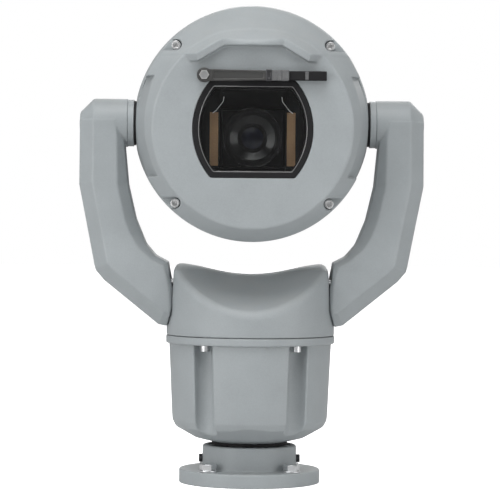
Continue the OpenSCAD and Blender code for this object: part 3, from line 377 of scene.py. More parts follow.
def arm_solid(x, y, z):
    """One arm of the yoke, the one at +X: foot on the shoulder, bevelled stem, hub."""
    half = np.interp(z, [p[0] for p in ARM_HALF], [p[1] for p in ARM_HALF])
    depth = np.where(z > TILT, disc(y, z - TILT, HUB_R), (np.abs(y) - half) * 0.995)
    outer = outline(eased([
        (-60, TILT + 60, 0), (YOKE_X, TILT + 60, 0), (YOKE_X, KNEE, 5),
        (YOKE_X - 14.9, SHOULDER_TOP - 6.1, 8), (YOKE_X - 22.5, SHOULDER_TOP - 15, 8),
        (80.2, RING_TOP + 9.4, 2), (73.4, RING_TOP + 8, 0), (-60, RING_TOP + 8, 0)]), x, z)
    inner = outline(eased([
        (300, TILT + 90, 0), (112.5 + 5.2 * 90 / 54, TILT + 90, 0), (112.5, TILT, 0), (107.3, KNEE, 20),
        (100.5, 230, 20), (91.7, 208.5, 14), (83, 198, 12), (72.2, 192.4, 1.2), (68.0, 170, 10),
        (68.6, 152, 10), (72, 139, 2), (73.2, RING_TOP + 7, 0), (73, 60, 0), (300, 60, 0)]), x, z)
    stem = bevel(outer, depth, 12, 0.9)
    cheek = np.interp(z, [140, 196, 215, 259, 300], [0.5, 5, 9, 9, 6])
    stem = both(stem, inner, 0.9)
    stem = both(stem, (inner + depth + cheek) * EDGE_45, 0.9)
    stem = both(stem, z - TILT - 2)
    hub = both(disc(y, z - TILT, HUB_R), between(x, 108, YOKE_X), 0.7)
    hub = both(hub, (disc(y, z - TILT, HUB_R) + (x - YOKE_X) + 12) * EDGE_45, 0.9)
    solid = either(stem, hub, 0.8)
    # axle seat, wiring room and the seat of the little side cover
    seat = np.maximum(disc(y, z - TILT, 14.05), x - 122)
    seat = np.minimum(seat, np.maximum(disc(y, z - TILT, 9.6), x - 144))
    solid = less(solid, seat, 0.3)
    room = np.maximum(between(y, -9, 9), outline([
        (YOKE_X - 30, TILT - 8), (YOKE_X - 9, TILT - 8), (YOKE_X - 9, KNEE), (YOKE_X - 21, SHOULDER_TOP + 2),
        (YOKE_X - 30, SHOULDER_TOP - 9), (83.6, 155), (83.6, SHOULDER_TOP - 12),
        (YOKE_X - 44, SHOULDER_TOP + 10)], x, z))
    solid = less(solid, room)
    near = np.clip(z, KNEE + 15, TILT - 3)
    cover = np.maximum(disc(y, z - near, 7.12), YOKE_X - 3 - x)
    return less(solid, cover, 0.25)


# ---------------------------------------------------------------- the head

def cone_field(x, y, up, inset=0.0):
    """Round rim and the oblique bevel in front of it."""
    ahead = BEVEL_START - y
    rim = disc(x, up + 3 + 0.1 * ahead, RIM_R - inset)
    cone = (disc(x, up + 3 + 0.15 * ahead, 0) - (RIM_R - inset - 0.625 * ahead)) * 0.848
    return rim, cone


def window_field(x, up, inset=0.0):
    """Window outline: two side arcs between a flat top and bottom."""
    arc = 62.6
    side = disc(np.abs(x) + arc - WINDOW_W / 2, up - WINDOW_Z, arc - inset)
    return both(side, np.abs(up - WINDOW_Z) - WINDOW_H / 2 + inset, 0.8)


def relief_field(x, y, up, grow=0.0):
    """Round recess in each side of the rim, clear of the arms."""
    cut = (92 - grow + 0.185 * (y + 74.5) - np.hypot(x, up + 3)) * 0.983
    return both(cut, np.abs(up + 4.9) - 42.6 - grow, 0.8)


def pocket_field(x, up, grow=0.0):
    """Screw pockets in the four corners, each with a slot out to the side."""
    far = np.abs(x) - POCKET_X
    high = np.minimum(np.abs(up - POCKET_UP), np.abs(up - POCKET_DOWN))
    return np.where(far > 0, high, np.hypot(far, high)) - 4.8 - grow


def front_solid(x, y, z):
    """Front half of the head: bevelled rim, flat face, brow, screw pockets, window."""
    up = z - TILT
    rim, cone = cone_field(x, y, up)
    round_part = both(rim, cone, 1.6)
    face = both(round_part, HEAD_FACE - y, 1.3)
    # brow: above a roof line that peaks over the window
    roof = np.maximum(np.minimum(62.4 - up, (62.4 - 0.6 * (np.abs(x) - 24.4) - up) * 0.857), 49.2 - up)
    visor = both(round_part, roof, 0.6)
    visor = both(visor, (cone + roof + 6.0) / 0.632, 0.8)
    visor = np.maximum(visor, -102 - y)
    solid = either(face, visor, 1.6)
    # flat above the middle of the brow
    top = -0.694 * (y + 85) + 0.72 * (up - 77.5)
    solid = both(solid, np.where(up > 20, top, -50), 3.0)
    solid = less(solid, relief_field(x, y, up), 0.9)
    solid = less(solid, np.maximum(pocket_field(x, up), y - BEVEL_START), 0.9)
    solid = less(solid, np.maximum(window_field(x, up), y + 70), 0.5)
    solid = less(solid, np.maximum(disc(x - PIVOT[0], z - PIVOT[2], 5.5), y + 70), 0.3)
    solid = both(solid, y - HEAD_JOINT + 0.12, 0.7)
    inner_rim, inner_cone = cone_field(x, y, up, CAST_WALL)
    hollow = np.maximum(np.maximum(inner_rim, inner_cone), HEAD_FACE + CAST_WALL - y)
    hollow = np.maximum(hollow, -np.maximum(pocket_field(x, up, 3), y + 58))
    hollow = np.maximum(hollow, -relief_field(x, y, up, CAST_WALL))
    return less(solid, hollow)


def rear_line(inset):
    """Half outline of the rear shell; the inner one runs on past the joint."""
    r = HEAD_R - inset
    arc = [(45 + (r - 45) * math.cos(math.radians(a)), 20 + (72 - inset) * math.sin(math.radians(a)))
           for a in range(3, 91, 3)]
    start = HEAD_JOINT - (3 if inset else 0)
    return [(-60, start), (RIM_R - inset, start), (r, 0), (r, 20)] + arc + [(-60, 92 - inset)]


def rear_solid(x, y, z):
    """Rear shell of the head, with the side bosses, their bores and the vent seat."""
    up = z - TILT
    r = np.hypot(x, up)
    solid = outline(rear_line(0), r, y)
    vent = both(r - 30, y - 95, 0.8)
    solid = either(solid, np.maximum(vent, 80 - y), 1.0)
    solid = both(solid, np.abs(x) - 101, 0.8)
    solid = both(solid, HEAD_JOINT + 0.12 - y, 0.7)
    hollow = outline(rear_line(CAST_WALL), r, y)
    boss = np.maximum(disc(y, up, 21), 80 - np.abs(x))
    hollow = np.maximum(hollow, -boss)
    solid = less(solid, hollow)
    bore = np.maximum(disc(y, up, 17), between(np.abs(x), 70, 92))
    solid = less(solid, np.minimum(bore, disc(y, up, 11.5) + np.where(np.abs(x) > 60, 0, 50)), 0.5)
    for a in range(30, 360, 60):
        hole = disc(x - 24 * math.sin(math.radians(a)), up - 24 * math.cos(math.radians(a)), 1.9)
        solid = less(solid, np.maximum(hole, 91 - y), 0.4)
    return solid


# ---------------------------------------------------------------- trim and hardware

def window_frame_solid(x, y, z):
    """Black rubber frame that holds the pane."""
    up = z - TILT
    ring = both(window_field(x, up, 0.08), between(y, HEAD_FACE - 0.45, HEAD_FACE + 3.9), 0.7)
    return less(ring, window_field(x, up, 4.9), 0.35)


def pane_edge_solid(x, y, z):
    """Ground edge of the pane, a fine bright line inside the black frame."""
    up = z - TILT
    ring = np.maximum(window_field(x, up, 4.75), -window_field(x, up, 5.5))
    return both(ring, between(y, PANE_FRONT - 0.35, PANE_FRONT + 0.6), 0.1)


def tunnel_solid(x, y, z):
    """Dark tunnel behind the window, with a back plate cut out round the lens."""
    up = z - TILT
    wall = np.maximum(window_field(x, up, 5.0), -window_field(x, up, 6.4))
    wall = np.maximum(wall, between(y, HEAD_FACE + 6.4, -56))
    plate = np.maximum(window_field(x, up, 5.0), between(y, -57.8, -56))
    gap = both(np.abs(x) - 28.6, between(up, -42.5, 17.5), 2)
    return either(wall, less(plate, gap, 0.3), 0.8)


def hex_field(x, y, across):
    """Distance from a hexagon of that size across its flats."""
    d = np.abs(y)
    for turn in (60, -60):
        a = math.radians(turn)
        d = np.maximum(d, np.abs(x * math.sin(a) + y * math.cos(a)))
    return d - across / 2


def base_bolt_solid(x, y, z):
    """One hexagon bolt with its bearing face at z = 0, thread pointing down."""
    r = np.hypot(x, y)
    head = both(hex_field(x, y, 13), between(z, 0, 5.3), 0.35)
    head = both(head, (z - 5.3 + (r - 6.1) * 0.577) * 0.866, 0.25)
    shank = np.maximum(r - 4.2, between(z, -BOLT_SEAT, 1))
    pitch, tip = 1.25, -BOLT_SEAT - 11.3
    groove = 0.16 * np.cos(z * 2 * math.pi / pitch)
    thread = np.maximum(r - 3.82 - groove, between(z, tip, 1 - BOLT_SEAT))
    thread = np.maximum(thread, (tip - z + r - 3.1) * 0.7)
    return np.minimum(head, np.minimum(shank, thread))


def washer_solid(x, y, z):
    return both(disc(x, y, 8), np.maximum(between(z, -1.6, 0), 4.3 - np.hypot(x, y)), 0.3)


def cap_screw_solid(x, y, z):
    """One socket-head screw along Y, its head's face at y = 0 towards -Y."""
    r = np.hypot(x, z)
    head = both(r - 3.9, between(y, 0, 4.6), 0.45)
    head = less(head, np.maximum(hex_field(x, z, 4.0), y - 3.2), 0.15)
    return np.minimum(head, np.maximum(r - 1.95, between(y, 4, 22)))


def lens_rings_solid(x, y, z):
    """Stepped barrel front about the lens axis: rim, cone, inner ring."""
    r = np.hypot(x, z - TILT - LENS_UP)
    return outline(eased([
        (26.2, -51, 0.3), (26.2, -58.6, 0.5), (24.4, -58.6, 0.4), (24.0, -57.2, 0), (21.2, -57.2, 0),
        (20.9, -58.9, 0.25), (20.0, -58.9, 0.25), (19.4, -57.6, 0), (12.4, -54.2, 0), (11.6, -55.4, 0.25),
        (10.8, -55.4, 0.25), (10.2, -54.0, 0), (9.4, -53.4, 0), (9.4, -51, 0)]), r, y)


def lens_dome_solid(x, y, z):
    """Domed face of the front element."""
    up = z - TILT - LENS_UP
    return both(np.sqrt(x * x + up * up + (y + 24.6) ** 2) - 30.0, np.hypot(x, up) - 9.9, 0.2)


def heater_lead_solid(x, y, z):
    """Thin wire up from each heater strip."""
    near = None
    for a, b in (((33.8, 6.5), (31.0, 8.6)), ((31.0, 8.6), (25.2, 16.2)), ((25.2, 16.2), (24.4, 21.0))):
        e = (b[0] - a[0], b[1] - a[1])
        u, v = np.abs(x) - a[0], z - TILT - a[1]
        t = np.clip((u * e[0] + v * e[1]) / (e[0] ** 2 + e[1] ** 2), 0, 1)
        d = np.hypot(u - e[0] * t, v - e[1] * t)
        near = d if near is None else np.minimum(near, d)
    return np.hypot(near, y + 70) - 0.38


def wiper_arm_solid(x, y, z):
    """Boss on the shaft and a folded arm that tapers towards the blade."""
    u, up = x - PIVOT[0], z - PIVOT[2]
    half = 5.0 - 0.016 * np.clip(u, 0, 60)
    arm = both(both(np.abs(up + 0.1) - half, between(u, 0, 56.5), 1.0), between(y, -96.3, -92.9), 0.7)
    trough = both(np.abs(up + 0.1) - half + 1.5, between(u, 7.5, 50), 1.4)
    arm = less(arm, np.maximum(trough, y + 95.5), 0.35)
    boss = both(disc(u, up, 6.1), between(y, -97.3, -90.9), 1.1)
    solid = either(arm, boss, 0.9)
    return less(solid, disc(u, up, 3.05))


def wiper_clip_solid(x, y, z):
    """Dark spring clip folded round the arm's end."""
    u, up = x - PIVOT[0], z - PIVOT[2]
    clip = both(both(np.abs(up) - 4.9, between(u, 51.6, 56.7), 0.6), between(y, -97.0, -92.6), 0.7)
    return less(clip, both(np.abs(up) - 2.4, np.maximum(between(u, 53.0, 55.2), y + 96.4), 0.5), 0.3)


def wiper_block_solid(x, y, z):
    """Blade carrier: a dark neck and a moulded block."""
    u, up = x - PIVOT[0], z - PIVOT[2]
    neck = both(both(np.abs(up) - 4.4, between(u, 56, 62.5), 0.8), between(y, -96.2, -91.8), 0.8)
    block = both(both(np.abs(up) - 4.6, between(u, 61.4, 71.2), 1.2), between(y, -97.6, -91.8), 1.2)
    rib = both(both(np.abs(up) - 4.6, between(u, 64.8, 65.6), 0.2), y + 97.1, 0.2)
    return either(neck, less(block, rib, 0.2), 0.5)


def wiper_blade_solid(x, y, z):
    """Rubber blade: a backing rail, two lips and a squeegee against the pane."""
    u, up = x - PIVOT[0], z - PIVOT[2]
    rail = both(both(np.abs(up) - 2.6, between(u, 31, 102.6), 0.8), between(y, -92.6, -90.2), 0.6)
    lips = both(both(np.abs(up) - 4.0, between(u, 30.4, 102.9), 0.6), between(y, -90.6, -88.9), 0.5)
    edge = both(both(np.abs(up) - 0.6, between(u, 30.6, 102.8), 0.3), between(y, -89.4, -86.95), 0.3)
    head = both(both(np.abs(up) - 3.7, between(u, 71, 102.7), 0.9), between(y, -94.6, -90.6), 0.9)
    return np.minimum(np.minimum(rail, lips), np.minimum(edge, head))


def blade_stop_solid(x, y, z):
    """Light divider set in the blade."""
    u, up = x - PIVOT[0], z - PIVOT[2]
    return both(both(np.abs(up) - 3.5, between(u, 84.6, 87.6), 0.5), between(y, -94.9, -92.0), 0.5)


# ---------------------------------------------------------------- finishes

def effect(name, inputs, outputs):
    """A shader node group with named inputs and outputs, and its two ends."""
    tree = bpy.data.node_groups.new(name, "ShaderNodeTree")
    for label, value in inputs:
        socket = tree.interface.new_socket(label, in_out="INPUT", socket_type="NodeSocketFloat")
        socket.default_value = value
    for label in outputs:
        tree.interface.new_socket(label, in_out="OUTPUT", socket_type="NodeSocketFloat")
    return tree, tree.nodes.new("NodeGroupInput"), tree.nodes.new("NodeGroupOutput")


def node(tree, kind, links=None, **settings):
    made = tree.nodes.new(kind)
    for key, value in settings.items():
        setattr(made, key, value)
    for socket, value in (links or {}).items():
        if isinstance(value, bpy.types.NodeSocket):
            tree.links.new(value, made.inputs[socket])
        else:
            made.inputs[socket].default_value = value
    return made


def sums(tree, operation, a, b, clamp=False):
    return node(tree, "ShaderNodeMath", {0: a, 1: b}, operation=operation, use_clamp=clamp).outputs[0]


def remap(tree, value, low, high, out_low=0.0, out_high=1.0):
    """Value carried from the range low to high onto out_low to out_high."""
    return node(tree, "ShaderNodeMapRange", {0: value, 1: low, 2: high, 3: out_low, 4: out_high}).outputs[0]


def noise(tree, where, scale, detail=3.0, rough=0.55):
    return node(tree, "ShaderNodeTexNoise", {"Vector": where, "Scale": scale, "Detail": detail,
                                             "Roughness": rough}).outputs["Fac"]


def local(tree):
    return tree.nodes.new("ShaderNodeTexCoord").outputs["Object"]


def make_effects():
    made = {}
    t, start, end = effect("paint_grain", [("Grain Size", 900.0), ("Mottle", 0.5)], ["Tone", "Height"])
    where = local(t)
    fine = noise(t, where, start.outputs["Grain Size"], 2.0)
    broad = noise(t, where, 38.0, 4.0, 0.6)
    tone = sums(t, "ADD", sums(t, "MULTIPLY", broad, start.outputs["Mottle"]),
                sums(t, "MULTIPLY", fine, sums(t, "SUBTRACT", 1.0, start.outputs["Mottle"])))
    t.links.new(tone, end.inputs["Tone"])
    bump_size = sums(t, "MULTIPLY", start.outputs["Grain Size"], 0.8)
    bumps = node(t, "ShaderNodeTexVoronoi", {"Vector": where, "Scale": bump_size},
                 feature="SMOOTH_F1").outputs["Distance"]
    height = sums(t, "ADD", sums(t, "MULTIPLY", fine, 0.6), sums(t, "MULTIPLY", bumps, 0.4))
    t.links.new(height, end.inputs["Height"])
    made["grain"] = t

    t, start, end = effect("edge_wear", [("Amount", 0.5), ("Breakup", 0.5)], ["Mask"])
    where = local(t)
    sharp = node(t, "ShaderNodeNewGeometry").outputs["Pointiness"]
    rubbed = remap(t, sharp, 0.54, 0.66)
    patches = remap(t, noise(t, where, 160.0, 5.0, 0.7), 0.42, 0.62)
    patches = sums(t, "ADD", sums(t, "MULTIPLY", patches, start.outputs["Breakup"]),
                   sums(t, "SUBTRACT", 1.0, start.outputs["Breakup"]))
    worn = sums(t, "MULTIPLY", rubbed, patches)
    t.links.new(sums(t, "MULTIPLY", worn, start.outputs["Amount"], clamp=True), end.inputs["Mask"])
    made["wear"] = t

    t, start, end = effect("settled_dust", [("Amount", 0.3), ("Patch Size", 60.0)], ["Mask"])
    where = local(t)
    facing = node(t, "ShaderNodeNewGeometry").outputs
    up = node(t, "ShaderNodeSeparateXYZ", {0: facing["Normal"]}).outputs["Z"]
    lying = remap(t, up, 0.25, 0.95)
    hollow = remap(t, facing["Pointiness"], 0.5, 0.44)
    patch = remap(t, noise(t, where, start.outputs["Patch Size"], 5.0, 0.65), 0.35, 0.7)
    laid = sums(t, "MULTIPLY", sums(t, "MAXIMUM", lying, sums(t, "MULTIPLY", hollow, 0.8)), patch)
    t.links.new(sums(t, "MULTIPLY", laid, start.outputs["Amount"], clamp=True), end.inputs["Mask"])
    made["dust"] = t

    t, start, end = effect("tool_lines", [("Line Size", 900.0), ("Waver", 2.0)], ["Height", "Tone"])
    where = local(t)
    stretched = node(t, "ShaderNodeMapping", {"Vector": where, "Scale": (1.0, 1.0, 0.06)}).outputs[0]
    lines = noise(t, stretched, start.outputs["Line Size"], 3.0, 0.6)
    drift = noise(t, where, 70.0, start.outputs["Waver"])
    t.links.new(lines, end.inputs["Height"])
    t.links.new(sums(t, "MULTIPLY", lines, sums(t, "ADD", drift, 0.5)), end.inputs["Tone"])
    made["lines"] = t
    return made


EFFECTS = make_effects()


def use(tree, name, **values):
    made = tree.nodes.new("ShaderNodeGroup")
    made.node_tree = EFFECTS[name]
    for key, value in values.items():
        made.inputs[key.replace("_", " ").title()].default_value = value
    return made.outputs


def mixed(tree, factor, a, b):
    made = tree.nodes.new("ShaderNodeMix")
    made.data_type = "RGBA"
    for socket, value in ((made.inputs[0], factor), (made.inputs[6], a), (made.inputs[7], b)):
        if isinstance(value, bpy.types.NodeSocket):
            tree.links.new(value, socket)
        elif isinstance(value, (int, float)):
            socket.default_value = value
        else:
            socket.default_value = (*value, 1.0)
    return made.outputs[2]


def finish(name, metallic=0.0, ior=1.45, coat=0.0, specular=0.5):
    made = bpy.data.materials.new(name)
    made.use_nodes = True
    tree = made.node_tree
    shader = tree.nodes["Principled BSDF"]
    shader.inputs["Metallic"].default_value = metallic
    shader.inputs["IOR"].default_value = ior
    shader.inputs["Coat Weight"].default_value = coat
    shader.inputs["Specular IOR Level"].default_value = specular
    return made, tree, shader


def surface(tree, shader, colour, rough, height=None, strength=0.1, depth=0.0002):
    tree.links.new(colour, shader.inputs["Base Color"])
    tree.links.new(rough, shader.inputs["Roughness"])
    if height is not None:
        bump = node(tree, "ShaderNodeBump", {"Height": height, "Strength": strength, "Distance": depth})
        tree.links.new(bump.outputs[0], shader.inputs["Normal"])


def scaled(shade, by, lift=0.0):
    """A shade made darker or lighter, kept within white."""
    return tuple(min(1, c * by + lift) for c in shade)


def painted(name, shade, grain=900.0, rough=(0.40, 0.52), wear=0.35, dust=0.25, bump=0.12):
    """Sprayed paint on cast metal: fine skin, rubbed edges, a little dust."""
    made, tree, shader = finish(name)
    skin_of = use(tree, "grain", grain_size=grain, mottle=0.55)
    rubbed = use(tree, "wear", amount=wear, breakup=0.75)["Mask"]
    dusty = use(tree, "dust", amount=dust)["Mask"]
    tone = remap(tree, skin_of["Tone"], 0.3, 0.7)
    colour = mixed(tree, tone, scaled(shade, 0.93), scaled(shade, 1.07))
    colour = mixed(tree, rubbed, colour, scaled(shade, 1.5, 0.03))
    colour = mixed(tree, dusty, colour, (0.42, 0.41, 0.385))
    rough_of = remap(tree, skin_of["Tone"], 0.3, 0.7, rough[0], rough[1])
    rough_of = sums(tree, "ADD", rough_of, sums(tree, "MULTIPLY", dusty, 0.3), clamp=True)
    surface(tree, shader, colour, rough_of, skin_of["Height"], bump, 0.00025)
    return made


def bare_metal(name, shade, rough=(0.22, 0.38), lines=900.0, dull=0.4, bump=0.05):
    """Machined or plated metal with fine tool lines and dull patches."""
    made, tree, shader = finish(name, metallic=1.0)
    cut = use(tree, "lines", line_size=lines)
    skin_of = use(tree, "grain", grain_size=1500.0, mottle=0.6)
    rubbed = use(tree, "wear", amount=0.5, breakup=0.4)["Mask"]
    tone = remap(tree, skin_of["Tone"], 0.35, 0.7)
    colour = mixed(tree, tone, shade, scaled(shade, 1 - 0.4 * dull))
    colour = mixed(tree, rubbed, colour, scaled(shade, 1.3))
    rough_of = remap(tree, cut["Tone"], 0.2, 0.8, rough[0], rough[1])
    surface(tree, shader, colour, rough_of, cut["Height"], bump, 0.0001)
    return made


def dark_moulding(name, shade, rough=(0.35, 0.6), dust=0.3, bump=0.15, wear=0.25):
    """Rubber or moulded plastic with a fine grain and dust in its corners."""
    made, tree, shader = finish(name, specular=0.3)
    skin_of = use(tree, "grain", grain_size=1100.0, mottle=0.4)
    dusty = use(tree, "dust", amount=dust, patch_size=90.0)["Mask"]
    rubbed = use(tree, "wear", amount=wear, breakup=0.6)["Mask"]
    tone = remap(tree, skin_of["Tone"], 0.3, 0.7)
    colour = mixed(tree, tone, scaled(shade, 0.8), scaled(shade, 1.25))
    colour = mixed(tree, rubbed, colour, scaled(shade, 2.2, 0.01))
    colour = mixed(tree, dusty, colour, (0.22, 0.21, 0.195))
    rough_of = remap(tree, skin_of["Tone"], 0.3, 0.7, rough[0], rough[1])
    surface(tree, shader, colour, rough_of, skin_of["Height"], bump, 0.0002)
    return made


def clear_glass(name, tint, rough=0.015):
    """Clear window glass with a faint smear."""
    made, tree, shader = finish(name, ior=1.5)
    shader.inputs["Transmission Weight"].default_value = 1.0
    smear = noise(tree, local(tree), 26.0, 5.0, 0.7)
    tree.links.new(remap(tree, smear, 0.45, 0.8, rough, rough + 0.03), shader.inputs["Roughness"])
    colour = mixed(tree, remap(tree, smear, 0.3, 0.8), tint, scaled(tint, 0.97))
    tree.links.new(colour, shader.inputs["Base Color"])
    return made


def coated_lens(name, tint):
    """Dark coated glass over the iris."""
    made, tree, shader = finish(name, ior=1.5, coat=0.1, specular=0.15)
    shader.inputs["Coat Roughness"].default_value = 0.02
    ring = noise(tree, local(tree), 90.0, 2.0)
    colour = mixed(tree, remap(tree, ring, 0.3, 0.7), tint, scaled(tint, 0.6))
    surface(tree, shader, colour, remap(tree, ring, 0.3, 0.7, 0.03, 0.08))
    return made


def board(name):
    """Green lacquered circuit board with faint copper tracks."""
    made, tree, shader = finish(name)
    where = local(tree)
    tracks = node(tree, "ShaderNodeTexBrick", {"Vector": where, "Scale": 160.0,
                                               "Mortar Size": 0.03}).outputs["Fac"]
    skin_of = use(tree, "grain", grain_size=700.0, mottle=0.6)
    colour = mixed(tree, tracks, (0.012, 0.11, 0.04), (0.03, 0.2, 0.075))
    colour = mixed(tree, remap(tree, skin_of["Tone"], 0.45, 0.8), colour, (0.008, 0.07, 0.03))
    surface(tree, shader, colour, remap(tree, skin_of["Tone"], 0.3, 0.7, 0.25, 0.4), tracks, 0.2, 0.0001)
    return made


def heater_foil(name):
    """Amber film heater with its printed track."""
    made, tree, shader = finish(name, coat=0.3)
    shader.inputs["Coat Roughness"].default_value = 0.2
    where = local(tree)
    track = node(tree, "ShaderNodeTexWave", {"Vector": where, "Scale": 210.0, "Distortion": 2.5,
                                             "Detail": 1.0}, bands_direction="Z").outputs["Fac"]
    skin_of = use(tree, "grain", grain_size=600.0, mottle=0.5)
    colour = mixed(tree, remap(tree, track, 0.55, 0.75), (0.42, 0.25, 0.13), (0.36, 0.205, 0.10))
    colour = mixed(tree, remap(tree, skin_of["Tone"], 0.4, 0.75), colour, (0.46, 0.29, 0.16))
    surface(tree, shader, colour, remap(tree, skin_of["Tone"], 0.3, 0.7, 0.35, 0.5), track, 0.15, 0.0001)
    return made


GREY = (0.335, 0.362, 0.374)
FINISHES = {
    "grey_casting": painted("silver_grey_paint", GREY),
    "steel_hardware": bare_metal("zinc_plated_steel", (0.74, 0.75, 0.76), rough=(0.26, 0.36), dull=0.25,
                                 bump=0.02),
    "black_hardware": bare_metal("blackened_steel", (0.10, 0.10, 0.105), rough=(0.3, 0.5)),
    "bearing_steel": bare_metal("bearing_steel", (0.6, 0.6, 0.62), rough=(0.08, 0.18), lines=1600.0),
    "gear_brass": bare_metal("cut_brass", (0.66, 0.48, 0.22), rough=(0.22, 0.36)),
    "bare_aluminium": bare_metal("machined_aluminium", (0.72, 0.73, 0.74), rough=(0.24, 0.36)),
    "motor_case": painted("motor_black", (0.035, 0.036, 0.038), rough=(0.35, 0.5)),
    "black_rubber": dark_moulding("black_rubber", (0.010, 0.010, 0.011), rough=(0.5, 0.7), dust=0.12),
    "black_plastic": dark_moulding("black_plastic", (0.022, 0.022, 0.024)),
    "board_green": board("circuit_board"),
    "black_sheet": dark_moulding("black_sheet", (0.006, 0.006, 0.0065), rough=(0.4, 0.55), dust=0.03),
    "black_camera": dark_moulding("camera_black", (0.006, 0.006, 0.007), rough=(0.35, 0.5), dust=0.03),
    "heater_film": heater_foil("heater_foil"),
    "window_glass": clear_glass("window_glass", (0.97, 0.985, 0.98)),
    "lens_glass": coated_lens("coated_lens", (0.012, 0.014, 0.03)),
    "dark_arm": painted("wiper_paint", (0.050, 0.050, 0.049), rough=(0.35, 0.5), dust=0.15),
}
CLIP_STEEL = bare_metal("spring_steel", (0.88, 0.88, 0.88), rough=(0.3, 0.42), dull=0.15, bump=0.02)
EDGE_METAL = bare_metal("pane_edge_metal", (0.34, 0.34, 0.34), rough=(0.3, 0.42), bump=0.02)
BARREL_BLACK = dark_moulding("barrel_black", (0.012, 0.012, 0.013), rough=(0.16, 0.24), dust=0.0,
                             bump=0.03, wear=0.5)
BLOCK_GREY = dark_moulding("moulded_grey", (0.125, 0.127, 0.13), rough=(0.4, 0.55), dust=0.12)


# ---------------------------------------------------------------- building

def build_castings():
    grey = FINISHES["grey_casting"]
    coarse = 1.0
    head_r = HEAD_R + 1
    low, high = TILT - head_r, TILT + head_r
    base = skin(base_solid, (-62, -62, 0), (62, 62, 87), 1.05 * coarse)
    piece("base_flange_and_collar", base, "base", grey, ["base_casting"])
    body = skin(body_solid, (-74, -74, BODY_FOOT), (74, 74, RING_TOP), 1.35 * coarse)
    piece("fluted_body", body, "pan_body", grey, ["body_casting"])
    shoulder = skin(shoulder_solid, (-74, -74, RING_TOP), (74, 74, SHOULDER_TOP + 1), 1.2 * coarse)
    piece("saddle_shoulder", shoulder, "pan_body", grey, ["shoulder_casting"])
    arm = skin(arm_solid, (64, -32, RING_TOP + 6), (YOKE_X, 32, TILT + 21), 1.15 * coarse)
    piece("yoke_arm_right", arm, "pan_body", grey, ["right_arm"])
    piece("yoke_arm_left", moved(arm, mirror=True), "pan_body", grey, ["left_arm"])
    front = skin(front_solid, (-head_r, -103, low), (head_r, HEAD_JOINT + 1, high), 1.2 * coarse)
    piece("head_front_cover", front, "head", grey, ["front_cover"])
    rear = skin(rear_solid, (-102, HEAD_JOINT - 1, low), (102, 96, high), 1.75 * coarse)
    piece("head_rear_shell", rear, "head", grey, ["rear_shell"])


def build_window():
    w, h = WINDOW_W / 2 + 1, WINDOW_H / 2 + 1
    z = TILT + WINDOW_Z
    frame_of = skin(window_frame_solid, (-w, -87, z - h), (w, -81, z + h), 0.62)
    rubber = FINISHES["black_rubber"]
    piece("window_frame_black", frame_of, "head", rubber, ["window_frame"])
    edge = skin(pane_edge_solid, (-w, -87.2, z - h), (w, -85, z + h), 0.4)
    piece("window_pane_edge", edge, "head", EDGE_METAL)
    tunnel = skin(tunnel_solid, (-w, -81, z - h), (w, -54, z + h), 0.9)
    piece("window_tunnel", tunnel, "head", FINISHES["black_sheet"])
    rings = skin(lens_rings_solid, (-27, -60, TILT - 41), (27, -50, TILT + 13), 0.5)
    piece("lens_barrel_rings", rings, "head", BARREL_BLACK)
    dome = skin(lens_dome_solid, (-11, -56, TILT - 25), (11, -50, TILT - 3), 0.4)
    piece("lens_front_element", dome, "head", FINISHES["lens_glass"])
    leads = skin(heater_lead_solid, (-35, -71, TILT + 5), (35, -69, TILT + 22), 0.25)
    piece("heater_lead_wires", leads, "head", CLIP_STEEL)


def build_wiper():
    x, z = PIVOT[0], PIVOT[2]
    dark = FINISHES["dark_arm"]
    arm = skin(wiper_arm_solid, (x - 6, -98, z - 6), (x + 58, -90, z + 6), 0.4)
    piece("wiper_arm_folded", arm, "wiper", dark, ["wiper_arm"])
    clip = skin(wiper_clip_solid, (x + 51, -98, z - 5.5), (x + 57.5, -92, z + 5.5), 0.3)
    piece("wiper_spring_clip", clip, "wiper", FINISHES["black_hardware"])
    block = skin(wiper_block_solid, (x + 55, -98, z - 5.5), (x + 72, -91, z + 5.5), 0.35)
    piece("wiper_blade_carrier", block, "wiper", BLOCK_GREY)
    blade = skin(wiper_blade_solid, (x + 30, -95, z - 4.5), (x + 103.5, -86.6, z + 4.5), 0.4)
    piece("wiper_blade_rubber", blade, "wiper", FINISHES["black_rubber"], ["wiper_blade"])
    stop = skin(blade_stop_solid, (x + 84, -95.5, z - 4), (x + 88.5, -91.5, z + 4), 0.3)
    piece("wiper_blade_divider", stop, "wiper", BLOCK_GREY)


def build_bolts():
    bolt = skin(base_bolt_solid, (-8, -8, -BOLT_SEAT - 11.4), (8, 8, 5.5), 0.5)
    washer = skin(washer_solid, (-8.2, -8.2, -1.7), (8.2, 8.2, 0.1), 0.42)
    # place, and how far each hexagon happens to be turned
    spots = [(BOLT_AT, -BOLT_AT, 5), (-BOLT_AT, -BOLT_AT, -8),
             (BOLT_AT, BOLT_AT, 18), (-BOLT_AT, BOLT_AT, 47)]
    bolts = joined([moved(bolt, math.radians(turn), (x, y, BOLT_SEAT)) for x, y, turn in spots])
    washers = joined([moved(washer, 0, (x, y, BOLT_SEAT)) for x, y, turn in spots])
    steel = FINISHES["steel_hardware"]
    piece("flange_hex_bolts", bolts, "base", steel, ["base_bolts"])
    piece("flange_washers", washers, "base", steel, ["base_washers"])


def build_head_screws():
    screw = skin(cap_screw_solid, (-4.2, -0.3, -4.2), (4.2, 22.2, 4.2), 0.3)
    spots = [(sx * POCKET_X, -66.4, TILT + up) for sx in (-1, 1) for up in (POCKET_UP, POCKET_DOWN)]
    screws = joined([moved(screw, 0, spot) for spot in spots])
    piece("head_cover_screws", screws, "head", CLIP_STEEL, ["cover_screws"])


